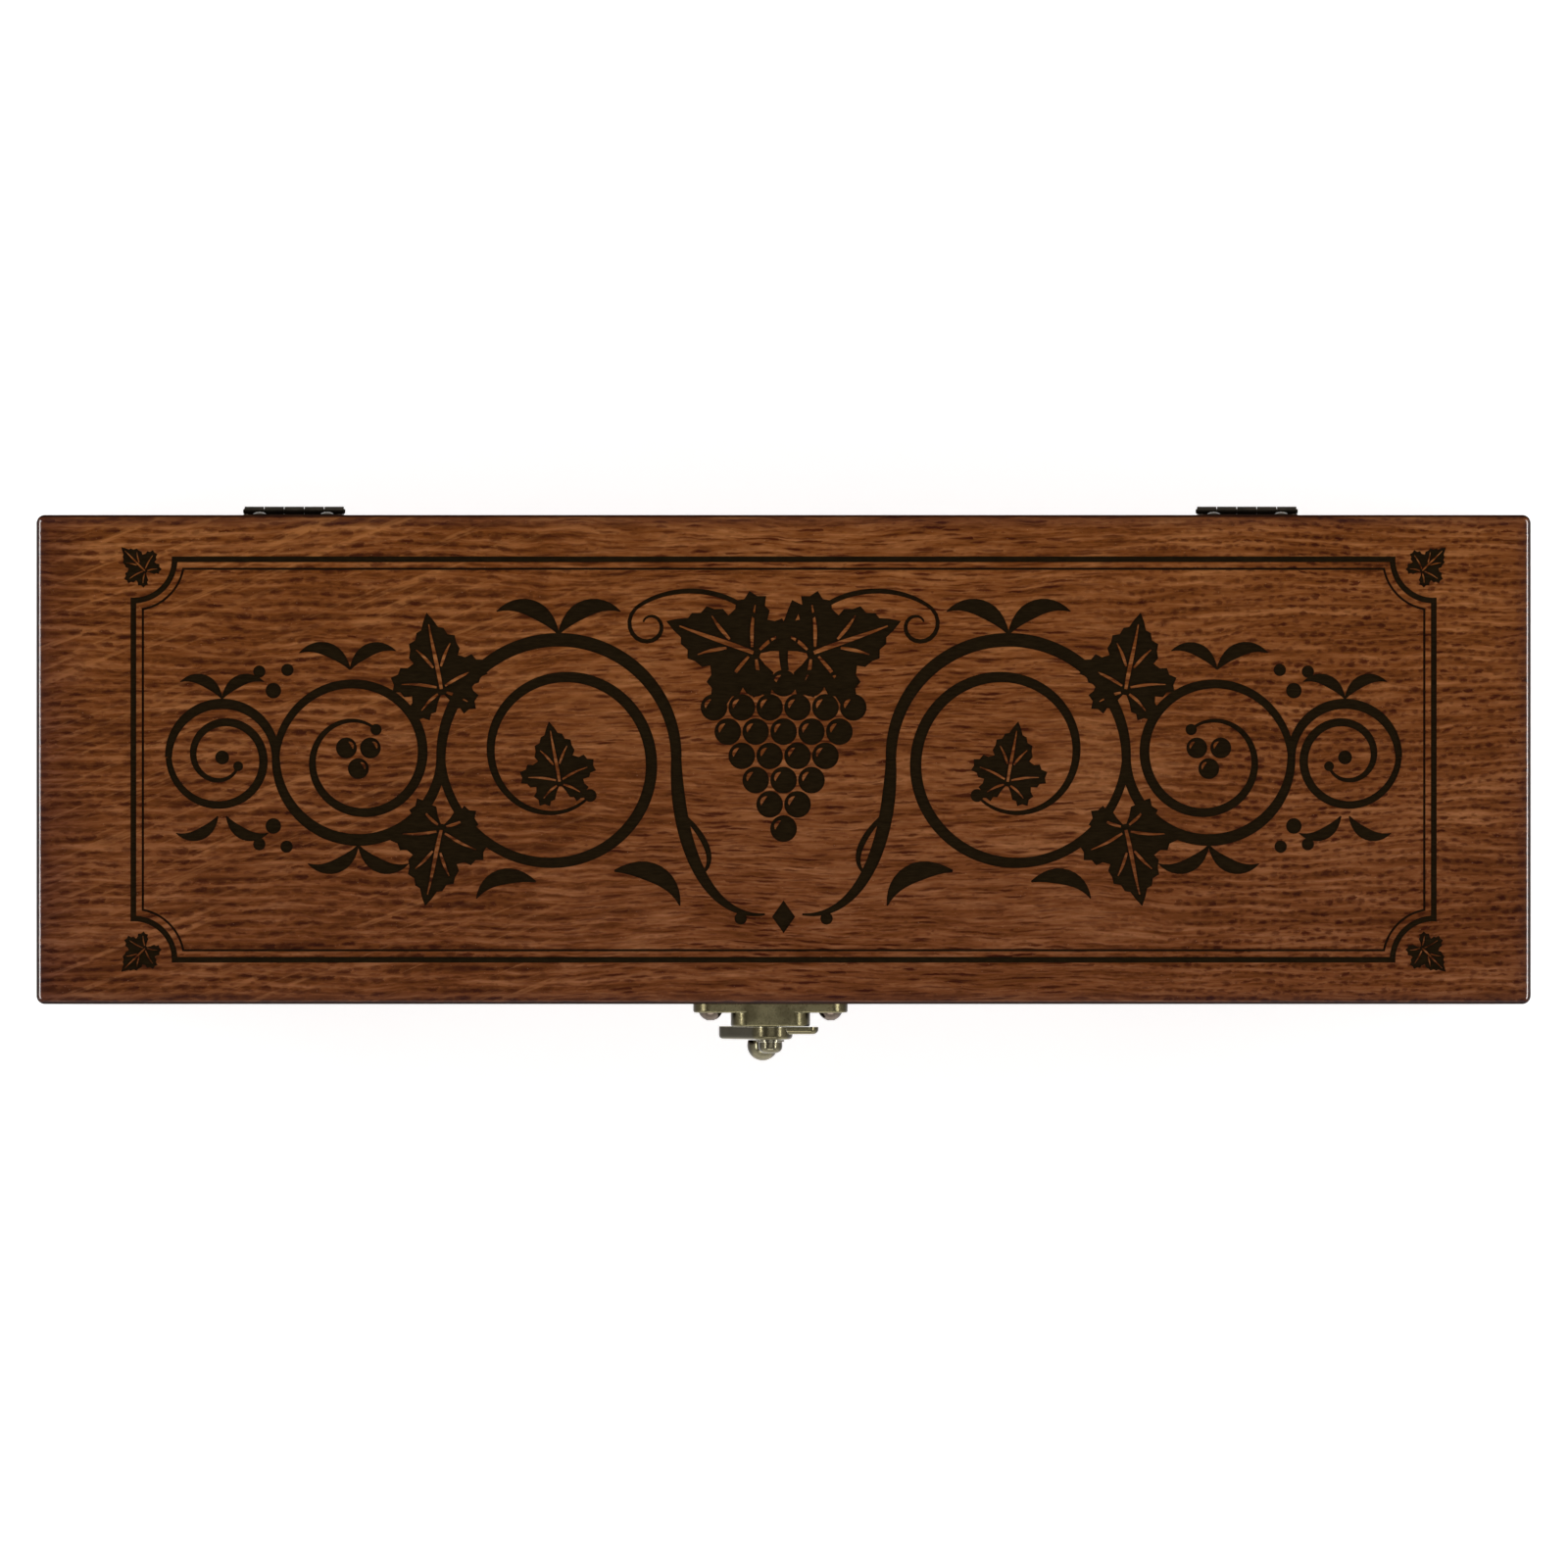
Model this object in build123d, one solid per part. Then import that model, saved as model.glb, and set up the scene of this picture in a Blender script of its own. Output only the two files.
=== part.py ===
from build123d import *
import os
from math import acos, atan2, cos, degrees, hypot, sin

# Hinged wooden gift box for one bottle of wine, lying down.
# The case is mitred board under a stained veneer, lined with velvet. The lid turns on two
# butt hinges on the back, and a riveted swing hook on its front turns onto a stud on the base.
# Millimetres. X runs along the box, the front faces -Y, +Z is up.
# The origin is on the underside, at the middle of the wooden case.

# Wooden case
case_length = 362.0
case_depth = 118.5
base_height = 81.0
lid_height = 32.0
wall = 9.0
corner_radius = 2.0
top_edge_radius = 1.3
rim_edge_radius = 0.6
foot_edge_radius = 0.8

# Boards that close the case, and how they are let in
lid_panel_thickness = 6.0
lid_tongue_depth = 2.0
bottom_thickness = 5.0
bottom_rebate = 4.5
glue_gap = 0.2

# Felt under the box
felt_thickness = 1.0
felt_inset = 3.0

# Velvet linings and pads inside
liner_thickness = 1.5
liner_reveal = 2.0
floor_pad_thickness = 3.0
floor_pad_edge_radius = 1.2
lid_pad_thickness = 5.0
lid_pad_crown = 1.6
lid_pad_edge_radius = 2.0

# Bottle, and the two padded rests that carry it
bottle_radius = 38.0
neck_radius = 15.0
bottle_lift = 6.0
seat_padding = 1.0
body_rest_x = -80.0
body_rest_width = 78.0
body_rest_height = 36.0
neck_rest_x = 100.0
neck_rest_width = 32.0
neck_rest_height = 41.0
rest_edge_chamfer = 2.0

# Hinges and the catch sit a little left of the middle
hardware_offset = -3.2

# Butt hinges, each of two leaves with five knuckles on one pin
hinge_inset = 64.9
hinge_width = 24.2
hinge_leaf_height = 13.0
hinge_leaf_thickness = 0.5
hinge_corner_radius = 1.6
hinge_pin_radius = 0.6
running_clearance = 0.05
knuckle_count = 5
knuckle_gap = 0.15
barrel_standoff = 0.15
curl_overlap = 0.3
pin_end_length = 0.35
pin_end_chamfer = 0.2
hinge_screw_spacing = 16.4
hinge_screw_height = 8.2
hinge_head_radius = 1.7
hinge_head_height = 0.6
hinge_shank_radius = 0.8
hinge_screw_length = 7.5

# Catch plates: a bar with round ears for the screws, and a raised boss beside the parting line
plate_length = 37.6
plate_thickness = 2.3
ear_radius = 4.3
boss_width = 19.3
boss_height = 15.0
boss_depth = 5.6
boss_corner_radius = 4.6
boss_margin = 1.0
casting_edge_radius = 0.5
plate_screw_spacing = 29.2
plate_head_radius = 2.85
plate_head_height = 2.0
plate_shank_radius = 1.2
plate_screw_length = 9.6

# Swing hook on the lid's plate, and the rivet and washer that carry it
pivot_height = 9.5
hook_gap = 0.15
hook_thickness = 3.1
hub_radius = 5.4
hook_end_radius = 3.9
hook_edge_radius = 1.0
hook_swing = 30.0
thumb_tab_angle = 12.0
thumb_tab_reach = 11.9
thumb_tab_root_radius = 3.4
thumb_tab_end_radius = 2.3
thumb_tab_thickness = 1.8
thumb_tab_edge_radius = 1.3
rivet_radius = 1.6
rivet_head_radius = 2.9
rivet_head_height = 2.75
rivet_edge_radius = 1.6
washer_radius = 3.4
washer_thickness = 0.45
washer_gap = 0.1

# Ball-headed stud on the base's plate, which the hook turns onto
stud_offset = -1.9
stud_drop = 4.6
stud_neck_radius = 1.7
stud_ball_radius = 3.8
stud_ball_lift = 1.25
stud_head_gap = 0.3
notch_clearance = 0.25
notch_sweep = 50.0

# Screws and rivets in their seats
screw_clearance = 0.05
seat_clearance = 0.02
screw_point_ratio = 1.5
screw_tip_ratio = 0.2
recess_width_ratio = 0.28
recess_reach_ratio = 0.62
recess_depth_ratio = 0.45

# Levels and faces that follow from these
base_floor = felt_thickness
parting = base_floor + base_height
case_top = parting + lid_height
panel_underside = case_top - lid_panel_thickness
tongue_underside = panel_underside - lid_tongue_depth
inner_length = case_length - 2 * wall
inner_depth = case_depth - 2 * wall
bottom_top = base_floor + bottom_thickness
floor_pad_top = bottom_top + floor_pad_thickness
lined_length = inner_length - 2 * liner_thickness
lined_depth = inner_depth - 2 * liner_thickness
bottle_axis = floor_pad_top + bottle_lift + bottle_radius
front_face = -case_depth / 2
back_face = case_depth / 2
barrel_radius = hinge_pin_radius + running_clearance + hinge_leaf_thickness
barrel_reach = barrel_standoff + barrel_radius
hinge_axis_y = back_face + barrel_reach
hook_back = boss_depth + hook_gap
hook_front = hook_back + hook_thickness
washer_back = hook_front + washer_gap
washer_front = washer_back + washer_thickness
stud_head_back = hook_front + stud_head_gap
pivot_level = parting + pivot_height
stud_level = parting - stud_drop
hook_reach = hypot(stud_offset, pivot_level - stud_level)
latched_bearing = degrees(atan2(stud_level - pivot_level, stud_offset))
rest_bearing = latched_bearing - hook_swing


# Shared shapes

def block(low, high):
    size = [b - a for a, b in zip(low, high)]
    return Pos(*low) * Box(*size, align=(Align.MIN, Align.MIN, Align.MIN))


def centred_block(length, depth, low_z, high_z):
    return block((-length / 2, -depth / 2, low_z), (length / 2, depth / 2, high_z))


def standing_cylinder(radius, height):
    return Cylinder(radius, height, align=(Align.CENTER, Align.CENTER, Align.MIN))


def long_cylinder(x, y, z, radius, length):
    """A cylinder along X, centred on a point."""
    return Pos(x, y, z) * Rot(0, 90, 0) * Cylinder(radius, length)


def out_of_front(x, z, distance):
    """A place on the front face, moved out by a distance, with +Z pointing out of the wood."""
    return Pos(x, front_face - distance, z) * Rot(90, 0, 0)


def out_of_back(x, z, distance):
    """A place on the back face, moved out by a distance, with +Z pointing out of the wood."""
    return Pos(x, back_face + distance, z) * Rot(-90, 0, 0)


def front_sketch(distance):
    """The drawing plane of the catch: X along the box, Y up, at a distance out of the front."""
    return Plane(origin=(hardware_offset, front_face - distance, 0), x_dir=(1, 0, 0), z_dir=(0, -1, 0))


def tapered_bar(first_radius, second_radius, spacing):
    """The outline of a bar with round ends of two sizes, from the origin along +X."""
    turn = acos((first_radius - second_radius) / spacing)
    corners = []
    for side in (1, -1):
        near = (first_radius * cos(turn), side * first_radius * sin(turn))
        far = (spacing + second_radius * cos(turn), side * second_radius * sin(turn))
        corners += [near, far] if side > 0 else [far, near]
    sides = make_face(Polyline(*corners, close=True))
    return sides + Circle(first_radius) + Pos(spacing, 0) * Circle(second_radius)


# Where the hardware is fixed along the box

hinge_places = {
    "left": hardware_offset - case_length / 2 + hinge_inset,
    "right": hardware_offset + case_length / 2 - hinge_inset,
}


def ear_level(direction):
    """Height of a catch plate's ears: direction is 1 on the lid and -1 on the base."""
    return parting + direction * (boss_margin + boss_height - ear_radius)


def catch_screw_places(direction, distance):
    """Where the two screws of a catch plate stand, at a distance out of the front."""
    return [
        out_of_front(hardware_offset + side * plate_screw_spacing / 2, ear_level(direction), distance)
        for side in (-1, 1)
    ]


def hinge_screw_places(centre_x, direction, distance):
    """Where the two screws of one hinge leaf stand, at a distance out of the back."""
    level = parting + direction * hinge_screw_height
    return [
        out_of_back(centre_x + side * hinge_screw_spacing / 2, level, distance) for side in (-1, 1)
    ]


def catch_pilot_holes(direction):
    depth = plate_screw_length - plate_thickness + screw_clearance
    hole = standing_cylinder(plate_shank_radius + screw_clearance, depth + plate_thickness)
    return [place * hole for place in catch_screw_places(direction, -depth)]


def hinge_pilot_holes(direction):
    depth = hinge_screw_length - hinge_leaf_thickness + screw_clearance
    hole = standing_cylinder(hinge_shank_radius + screw_clearance, depth + hinge_leaf_thickness)
    return [
        place * hole
        for centre_x in hinge_places.values()
        for place in hinge_screw_places(centre_x, direction, -depth)
    ]


# Wooden case

def rounded_case(low_z, high_z, low_radius, high_radius):
    """The outside of the base or the lid, with its edges eased."""
    shape = centred_block(case_length, case_depth, low_z, high_z)
    shape = fillet(shape.edges().filter_by(Axis.Z), corner_radius)
    shape = fillet(shape.faces().sort_by(Axis.Z)[-1].edges(), high_radius)
    return fillet(shape.faces().sort_by(Axis.Z)[0].edges(), low_radius)


def mitred_boards(frame, low_z, high_z):
    """The four boards of a hollow frame, parted by mitres through its corners."""
    outer_x, outer_y = case_length / 2, case_depth / 2
    inner_x, inner_y = outer_x - wall, outer_y - wall
    front = [(-outer_x, -outer_y), (outer_x, -outer_y), (inner_x, -inner_y), (-inner_x, -inner_y)]
    left = [(-outer_x, -outer_y), (-inner_x, -inner_y), (-inner_x, inner_y), (-outer_x, outer_y)]
    outlines = {
        "front": front,
        "back": [(x, -y) for x, y in front],
        "left": left,
        "right": [(-x, y) for x, y in left],
    }
    boards = {}
    for side, points in outlines.items():
        outline = Pos(0, 0, low_z) * make_face(Polyline(*points, close=True))
        boards[side] = frame & extrude(outline, high_z - low_z, dir=(0, 0, 1))
    return boards


def base_boards():
    """Four boards with a rebate inside their lower edge for the bottom board."""
    spread = 2 * bottom_rebate
    case = rounded_case(base_floor, parting, foot_edge_radius, rim_edge_radius)
    inside = centred_block(inner_length, inner_depth, base_floor, parting)
    rebate = centred_block(inner_length + spread, inner_depth + spread, base_floor, bottom_top)
    boards = mitred_boards(case - inside - rebate, base_floor, parting)
    boards["front"] -= catch_pilot_holes(-1)
    boards["back"] -= hinge_pilot_holes(-1)
    return boards


def bottom_board():
    spread = 2 * (bottom_rebate - glue_gap)
    return centred_block(inner_length + spread, inner_depth + spread, base_floor, bottom_top)


def base_felt():
    sheet = centred_block(case_length - 2 * felt_inset, case_depth - 2 * felt_inset, 0, base_floor)
    return fillet(sheet.edges().filter_by(Axis.Z), corner_radius)


def lid_case():
    return rounded_case(parting, case_top, rim_edge_radius, top_edge_radius)


def lid_rails():
    inside = centred_block(inner_length, inner_depth, parting, case_top)
    boards = mitred_boards(lid_case() - inside, parting, panel_underside)
    boards["front"] -= catch_pilot_holes(1)
    boards["back"] -= hinge_pilot_holes(1)
    return boards


def lid_top_panel():
    """The panel that covers the rails, with a tongue that drops between them."""
    spread = 2 * glue_gap
    panel = lid_case() & centred_block(case_length, case_depth, panel_underside, case_top)
    tongue = centred_block(inner_length - spread, inner_depth - spread, tongue_underside, panel_underside)
    return panel + tongue


# Velvet on card along the walls, and padded velvet on the floor and in the lid

def wall_linings(low_z, high_z):
    long_lining = block(
        (-inner_length / 2, -inner_depth / 2, low_z),
        (inner_length / 2, -lined_depth / 2, high_z),
    )
    short_lining = block(
        (-inner_length / 2, -lined_depth / 2, low_z),
        (-lined_length / 2, lined_depth / 2, high_z),
    )
    return {
        "front": long_lining,
        "back": mirror(long_lining, Plane.XZ),
        "left": short_lining,
        "right": mirror(short_lining, Plane.YZ),
    }


def floor_pad():
    pad = centred_block(lined_length, lined_depth, bottom_top, floor_pad_top)
    return fillet(pad.faces().sort_by(Axis.Z)[-1].edges(), floor_pad_edge_radius)


def lid_pad():
    """A padded panel under the lid, swelling towards the middle of the box."""
    half_depth = lined_depth / 2
    crown_radius = (half_depth**2 + lid_pad_crown**2) / (2 * lid_pad_crown)
    lowest = tongue_underside - lid_pad_thickness
    pad = centred_block(lined_length, lined_depth, lowest, tongue_underside)
    pad &= long_cylinder(0, 0, lowest + crown_radius, crown_radius, lined_length)
    ends = pad.edges().filter_by(GeomType.CIRCLE)
    return fillet(ends, lid_pad_edge_radius)


def bottle_rest(centre_x, width, height, held_radius):
    """A padded block on the floor pad, with a round seat for the bottle."""
    half_depth = lined_depth / 2
    rest = block(
        (centre_x - width / 2, -half_depth, floor_pad_top),
        (centre_x + width / 2, half_depth, floor_pad_top + height),
    )
    rest -= long_cylinder(centre_x, 0, bottle_axis, held_radius + seat_padding, width)
    seat_rims = rest.edges().filter_by(GeomType.CIRCLE)
    top_rims = rest.edges().filter_by(Axis.Y).group_by(Axis.Z)[-1]
    return chamfer(seat_rims + top_rims, rest_edge_chamfer)


# Screws with domed, cross-recessed heads

def domed_head(radius, height):
    """A low dome standing on the XY plane."""
    ball_radius = (radius**2 + height**2) / (2 * height)
    return Pos(0, 0, height - ball_radius) * Sphere(ball_radius) & standing_cylinder(radius, height)


def screw(head_radius, head_height, shank_radius, length):
    """A screw along Z, its head above zero and its point below."""
    point = screw_point_ratio * shank_radius
    shank = Pos(0, 0, point - length) * standing_cylinder(shank_radius, length - point)
    tip = Cone(
        screw_tip_ratio * shank_radius, shank_radius, point, align=(Align.CENTER, Align.CENTER, Align.MIN)
    )
    recess = Box(
        2 * recess_reach_ratio * head_radius,
        recess_width_ratio * head_radius,
        2 * recess_depth_ratio * head_height,
    )
    cross = Pos(0, 0, head_height) * (recess + Rot(0, 0, 90) * recess)
    return domed_head(head_radius, head_height) + shank + Pos(0, 0, -length) * tip - cross


def catch_screws(direction):
    model = screw(plate_head_radius, plate_head_height, plate_shank_radius, plate_screw_length)
    return Compound([place * model for place in catch_screw_places(direction, plate_thickness)])


def hinge_screws(direction):
    model = screw(hinge_head_radius, hinge_head_height, hinge_shank_radius, hinge_screw_length)
    return Compound(
        [
            place * model
            for centre_x in hinge_places.values()
            for place in hinge_screw_places(centre_x, direction, hinge_leaf_thickness)
        ]
    )


# Butt hinges

def knuckle(start_x, length, direction):
    """One knuckle round the pin, and the strip of leaf that curls into it."""
    section = Plane(origin=(start_x, 0, 0), x_dir=(0, 1, 0), z_dir=(1, 0, 0))
    barrel = Pos(hinge_axis_y, parting) * Circle(barrel_radius)
    low = direction * curl_overlap * barrel_radius
    high = direction * 2 * barrel_reach
    strip = Pos(back_face + hinge_leaf_thickness / 2, parting + (low + high) / 2) * Rectangle(
        hinge_leaf_thickness, abs(high - low)
    )
    return extrude(section * (barrel + strip), length)


def hinge_leaf(centre_x, direction, first):
    """A leaf going up (1) or down (-1), with every other knuckle from the first it has."""
    low, high = sorted((parting + direction * barrel_reach, parting + direction * hinge_leaf_height))
    leaf = block(
        (centre_x - hinge_width / 2, back_face, low),
        (centre_x + hinge_width / 2, back_face + hinge_leaf_thickness, high),
    )
    outer_edges = leaf.edges().filter_by(Axis.Y).group_by(Axis.Z)[-1 if direction > 0 else 0]
    leaf = fillet(outer_edges, hinge_corner_radius)
    length = (hinge_width - (knuckle_count - 1) * knuckle_gap) / knuckle_count
    for number in range(first, knuckle_count, 2):
        leaf += knuckle(centre_x - hinge_width / 2 + number * (length + knuckle_gap), length, direction)
    bore = long_cylinder(
        centre_x, hinge_axis_y, parting, hinge_pin_radius + running_clearance, hinge_width
    )
    hole = standing_cylinder(hinge_shank_radius + screw_clearance, hinge_leaf_thickness)
    return leaf - bore - [place * hole for place in hinge_screw_places(centre_x, direction, 0)]


def hinge_pin(centre_x):
    pin = long_cylinder(
        centre_x, hinge_axis_y, parting, hinge_pin_radius, hinge_width + 2 * pin_end_length
    )
    return chamfer(pin.edges().filter_by(GeomType.CIRCLE), pin_end_chamfer)


# Catch

def catch_plate(direction, bore_x, bore_level, bore_radius):
    """A cast plate: a bar with round ears, a raised boss, and the bore of its rivet or stud."""
    bar = Pos(0, ear_level(direction)) * SlotOverall(plate_length, 2 * ear_radius)
    boss_middle = parting + direction * (boss_margin + boss_height / 2)
    boss = Pos(0, boss_middle) * RectangleRounded(boss_width, boss_height, boss_corner_radius)
    flange = extrude(front_sketch(0) * (bar + boss), plate_thickness)
    flange = fillet(flange.faces().sort_by(Axis.Y)[0].edges(), casting_edge_radius)
    block_out = extrude(front_sketch(0) * boss, boss_depth)
    block_out = fillet(block_out.faces().sort_by(Axis.Y)[0].edges(), casting_edge_radius)
    bore = front_sketch(0) * (Pos(bore_x, bore_level) * Circle(bore_radius))
    hole = standing_cylinder(plate_shank_radius + screw_clearance, plate_thickness)
    holes = [place * hole for place in catch_screw_places(direction, 0)]
    return flange + block_out - extrude(bore, boss_depth) - holes


def latch_plate():
    return catch_plate(1, 0, pivot_level, rivet_radius + seat_clearance)


def keeper_plate():
    return catch_plate(-1, stud_offset, stud_level, stud_neck_radius + seat_clearance)


def latch_hook():
    """The swing hook as it hangs clear of the stud, with the notch that slides onto the stud."""
    pivot = Pos(0, pivot_level)
    arm = pivot * Rot(0, 0, rest_bearing) * tapered_bar(hub_radius, hook_end_radius, hook_reach)
    tab_spacing = thumb_tab_reach - thumb_tab_end_radius
    tab = pivot * Rot(0, 0, thumb_tab_angle) * tapered_bar(
        thumb_tab_root_radius, thumb_tab_end_radius, tab_spacing
    )
    track = CenterArc((0, 0), hook_reach, rest_bearing, notch_sweep)
    notch = pivot * SlotArc(track, 2 * (stud_neck_radius + notch_clearance))
    bore = pivot * Circle(rivet_radius + running_clearance)
    body = extrude(front_sketch(hook_back) * arm, hook_thickness)
    body = fillet(body.faces().sort_by(Axis.Y)[0].edges(), hook_edge_radius)
    thumb_tab = extrude(front_sketch(hook_back) * tab, thumb_tab_thickness)
    thumb_tab = fillet(thumb_tab.faces().sort_by(Axis.Y)[0].edges(), thumb_tab_edge_radius)
    return body + thumb_tab - extrude(front_sketch(hook_back) * (notch + bore), hook_thickness)


def latch_pivot():
    """The rivet that the hook turns on, with a bullet head."""
    head = Pos(0, 0, washer_front) * standing_cylinder(rivet_head_radius, rivet_head_height)
    head = fillet(head.faces().sort_by(Axis.Z)[-1].edges(), rivet_edge_radius)
    rivet = standing_cylinder(rivet_radius, washer_front) + head
    return out_of_front(hardware_offset, pivot_level, 0) * rivet


def latch_washer():
    washer = standing_cylinder(washer_radius, washer_thickness)
    washer -= standing_cylinder(rivet_radius + seat_clearance, washer_thickness)
    return out_of_front(hardware_offset, pivot_level, washer_back) * washer


def keeper_stud():
    """The stud whose ball head holds the hook on, flat behind the ball."""
    ball = Pos(0, 0, stud_head_back + stud_ball_lift) * Sphere(stud_ball_radius)
    ball &= Pos(0, 0, stud_head_back) * standing_cylinder(stud_ball_radius, 2 * stud_ball_radius)
    stud = standing_cylinder(stud_neck_radius, stud_head_back) + ball
    return out_of_front(hardware_offset + stud_offset, stud_level, 0) * stud


# Every piece under its own name

def all_pieces():
    pieces = {
        "base_bottom_board": bottom_board(),
        "base_felt": base_felt(),
        "floor_pad": floor_pad(),
        "body_rest": bottle_rest(body_rest_x, body_rest_width, body_rest_height, bottle_radius),
        "neck_rest": bottle_rest(neck_rest_x, neck_rest_width, neck_rest_height, neck_radius),
        "lid_top_panel": lid_top_panel(),
        "lid_pad": lid_pad(),
        "hinge_base_screws": hinge_screws(-1),
        "hinge_lid_screws": hinge_screws(1),
        "keeper_plate": keeper_plate(),
        "keeper_stud": keeper_stud(),
        "keeper_screws": catch_screws(-1),
        "latch_plate": latch_plate(),
        "latch_plate_screws": catch_screws(1),
        "latch_hook": latch_hook(),
        "latch_pivot": latch_pivot(),
        "latch_washer": latch_washer(),
    }
    pieces |= {f"base_{side}_board": board for side, board in base_boards().items()}
    pieces |= {f"lid_{side}_rail": rail for side, rail in lid_rails().items()}
    base_linings = wall_linings(bottom_top, parting - liner_reveal)
    pieces |= {f"base_{side}_lining": lining for side, lining in base_linings.items()}
    lid_linings = wall_linings(parting + liner_reveal, tongue_underside)
    pieces |= {f"lid_{side}_lining": lining for side, lining in lid_linings.items()}
    for side, centre_x in hinge_places.items():
        pieces[f"hinge_{side}_base_leaf"] = hinge_leaf(centre_x, -1, 0)
        pieces[f"hinge_{side}_lid_leaf"] = hinge_leaf(centre_x, 1, 1)
        pieces[f"hinge_{side}_pin"] = hinge_pin(centre_x)
    return pieces


os.makedirs("parts", exist_ok=True)
for name, piece in all_pieces().items():
    export_step(piece, f"parts/{name}.step")
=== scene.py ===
import bpy
import math
from mathutils import Matrix, Vector


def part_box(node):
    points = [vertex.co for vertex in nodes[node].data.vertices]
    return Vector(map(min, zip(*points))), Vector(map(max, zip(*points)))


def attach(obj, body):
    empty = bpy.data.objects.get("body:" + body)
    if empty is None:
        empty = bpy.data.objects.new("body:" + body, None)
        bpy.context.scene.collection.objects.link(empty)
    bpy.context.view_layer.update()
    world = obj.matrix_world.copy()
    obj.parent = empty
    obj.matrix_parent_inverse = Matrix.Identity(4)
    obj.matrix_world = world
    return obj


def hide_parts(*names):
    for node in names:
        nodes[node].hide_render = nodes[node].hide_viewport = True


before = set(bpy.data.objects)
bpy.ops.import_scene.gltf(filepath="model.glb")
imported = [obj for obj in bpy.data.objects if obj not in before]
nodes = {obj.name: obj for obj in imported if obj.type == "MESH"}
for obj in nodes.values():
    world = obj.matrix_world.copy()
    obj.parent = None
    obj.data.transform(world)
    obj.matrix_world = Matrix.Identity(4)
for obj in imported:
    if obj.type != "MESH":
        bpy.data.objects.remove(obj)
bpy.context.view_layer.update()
mm = 0.001
print("frame loaded:", len(nodes), "CAD nodes")


# small helpers for selecting, copying and finishing pieces

mergeGap = {"node": 0.005, "cutter": 0.002}
facing = {"level": 0.9999, "square": 0.999, "roughly": 0.9}
largeArea = 0.0005      # square metres


def tabled(labels, rows):
    # a dictionary of dictionaries, one to a row
    return {name: dict(zip(labels, row)) for name, row in rows.items()}


def pickOnly(piece):
    bpy.ops.object.select_all(action="DESELECT")
    piece.select_set(True)
    bpy.context.view_layer.objects.active = piece


def addNew(adder, **settings):
    # what one of Blender's own adders makes, alone in the selection
    bpy.ops.object.select_all(action="DESELECT")
    adder(**settings)
    return bpy.context.object


def setAll(thing, **settings):
    for name, value in settings.items():
        setattr(thing, name, value)
    return thing


def applyAll(piece):
    pickOnly(piece)
    for modifier in list(piece.modifiers):
        bpy.ops.object.modifier_apply(modifier=modifier.name)


def keepPlace():
    # the active object's place, turn and size go into its mesh
    bpy.ops.object.transform_apply(location=True, rotation=True, scale=True)


def editAll():
    bpy.ops.object.mode_set(mode="EDIT")
    bpy.ops.mesh.select_all(action="SELECT")


def editPicked(piece, kind, test):
    # goes into edit mode with only the faces or edges that pass the test selected
    pickOnly(piece)
    bpy.ops.object.mode_set(mode="EDIT")
    bpy.ops.mesh.select_mode(type=kind)
    bpy.ops.mesh.select_all(action="DESELECT")
    bpy.ops.object.mode_set(mode="OBJECT")
    for part in piece.data.polygons if kind == "FACE" else piece.data.edges:
        part.select = test(part)
    bpy.ops.object.mode_set(mode="EDIT")


def leaveEdit():
    bpy.ops.mesh.select_mode(type="VERT")
    bpy.ops.object.mode_set(mode="OBJECT")


def giveFinish(piece, material):
    piece.data.materials.clear()
    piece.data.materials.append(material)


def settle(piece, material, body, nodeName):
    # place goes into the mesh, then the piece gets its finish, its body and the node it stands for
    pickOnly(piece)
    keepPlace()
    if material:
        giveFinish(piece, material)
    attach(piece, body)
    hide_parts(nodeName)


def mergedCopy(nodeName, pieceName):
    # a CAD node's mesh is loose triangles, so the copy is merged before anything else
    piece = nodes[nodeName].copy()
    piece.data = nodes[nodeName].data.copy()
    for key in list(piece.keys()):
        if key.startswith("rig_"):
            del piece[key]
    piece.parent = None
    piece.name = piece.data.name = pieceName
    bpy.context.collection.objects.link(piece)
    pickOnly(piece)
    editAll()
    bpy.ops.mesh.remove_doubles(threshold=mergeGap["node"] * mm)
    leaveEdit()
    return piece


def cutBy(piece, cutter):
    carve = piece.modifiers.new("carve", "BOOLEAN")
    return setAll(carve, object=cutter, operation="DIFFERENCE", solver="EXACT")


def blockOf(nodeName, pieceName):
    # a block as large as the CAD node's box
    low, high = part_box(nodeName)
    piece = addNew(bpy.ops.mesh.primitive_cube_add, size=1, location=(low + high) / 2)
    piece.name = piece.data.name = pieceName
    piece.scale = high - low
    keepPlace()
    return piece


def smoothByAngle(piece, degrees):
    pickOnly(piece)
    bpy.ops.object.shade_smooth_by_angle(angle=math.radians(degrees))


def sharpenFlats(piece):
    # a large flat face keeps its own normal where a rounding starts beside it
    sides = {}
    for face in piece.data.polygons:
        for key in face.edge_keys:
            sides.setdefault(key, set()).add(abs(face.normal.z) > facing["level"])
    editPicked(piece, "EDGE", lambda edge: len(sides.get(edge.key, ())) == 2)
    bpy.ops.mesh.mark_sharp()
    leaveEdit()


# camera straight over the lid, as in the photograph

viewpoint = {"x": 0.1, "y": -5.93, "lidTop": 114.0, "distance": 5000.0, "lens": 473.9, "sensor": 36.0}
place = (viewpoint["x"], viewpoint["y"], viewpoint["lidTop"] + viewpoint["distance"])
camera = addNew(bpy.ops.object.camera_add, location=[part * mm for part in place], rotation=(0, 0, 0))
camera.name = "lidCamera"
setAll(camera.data, lens=viewpoint["lens"], sensor_width=viewpoint["sensor"])
bpy.context.scene.camera = camera
bpy.context.scene.view_settings.view_transform = "Standard"
print("camera set")


# shader helpers

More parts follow.
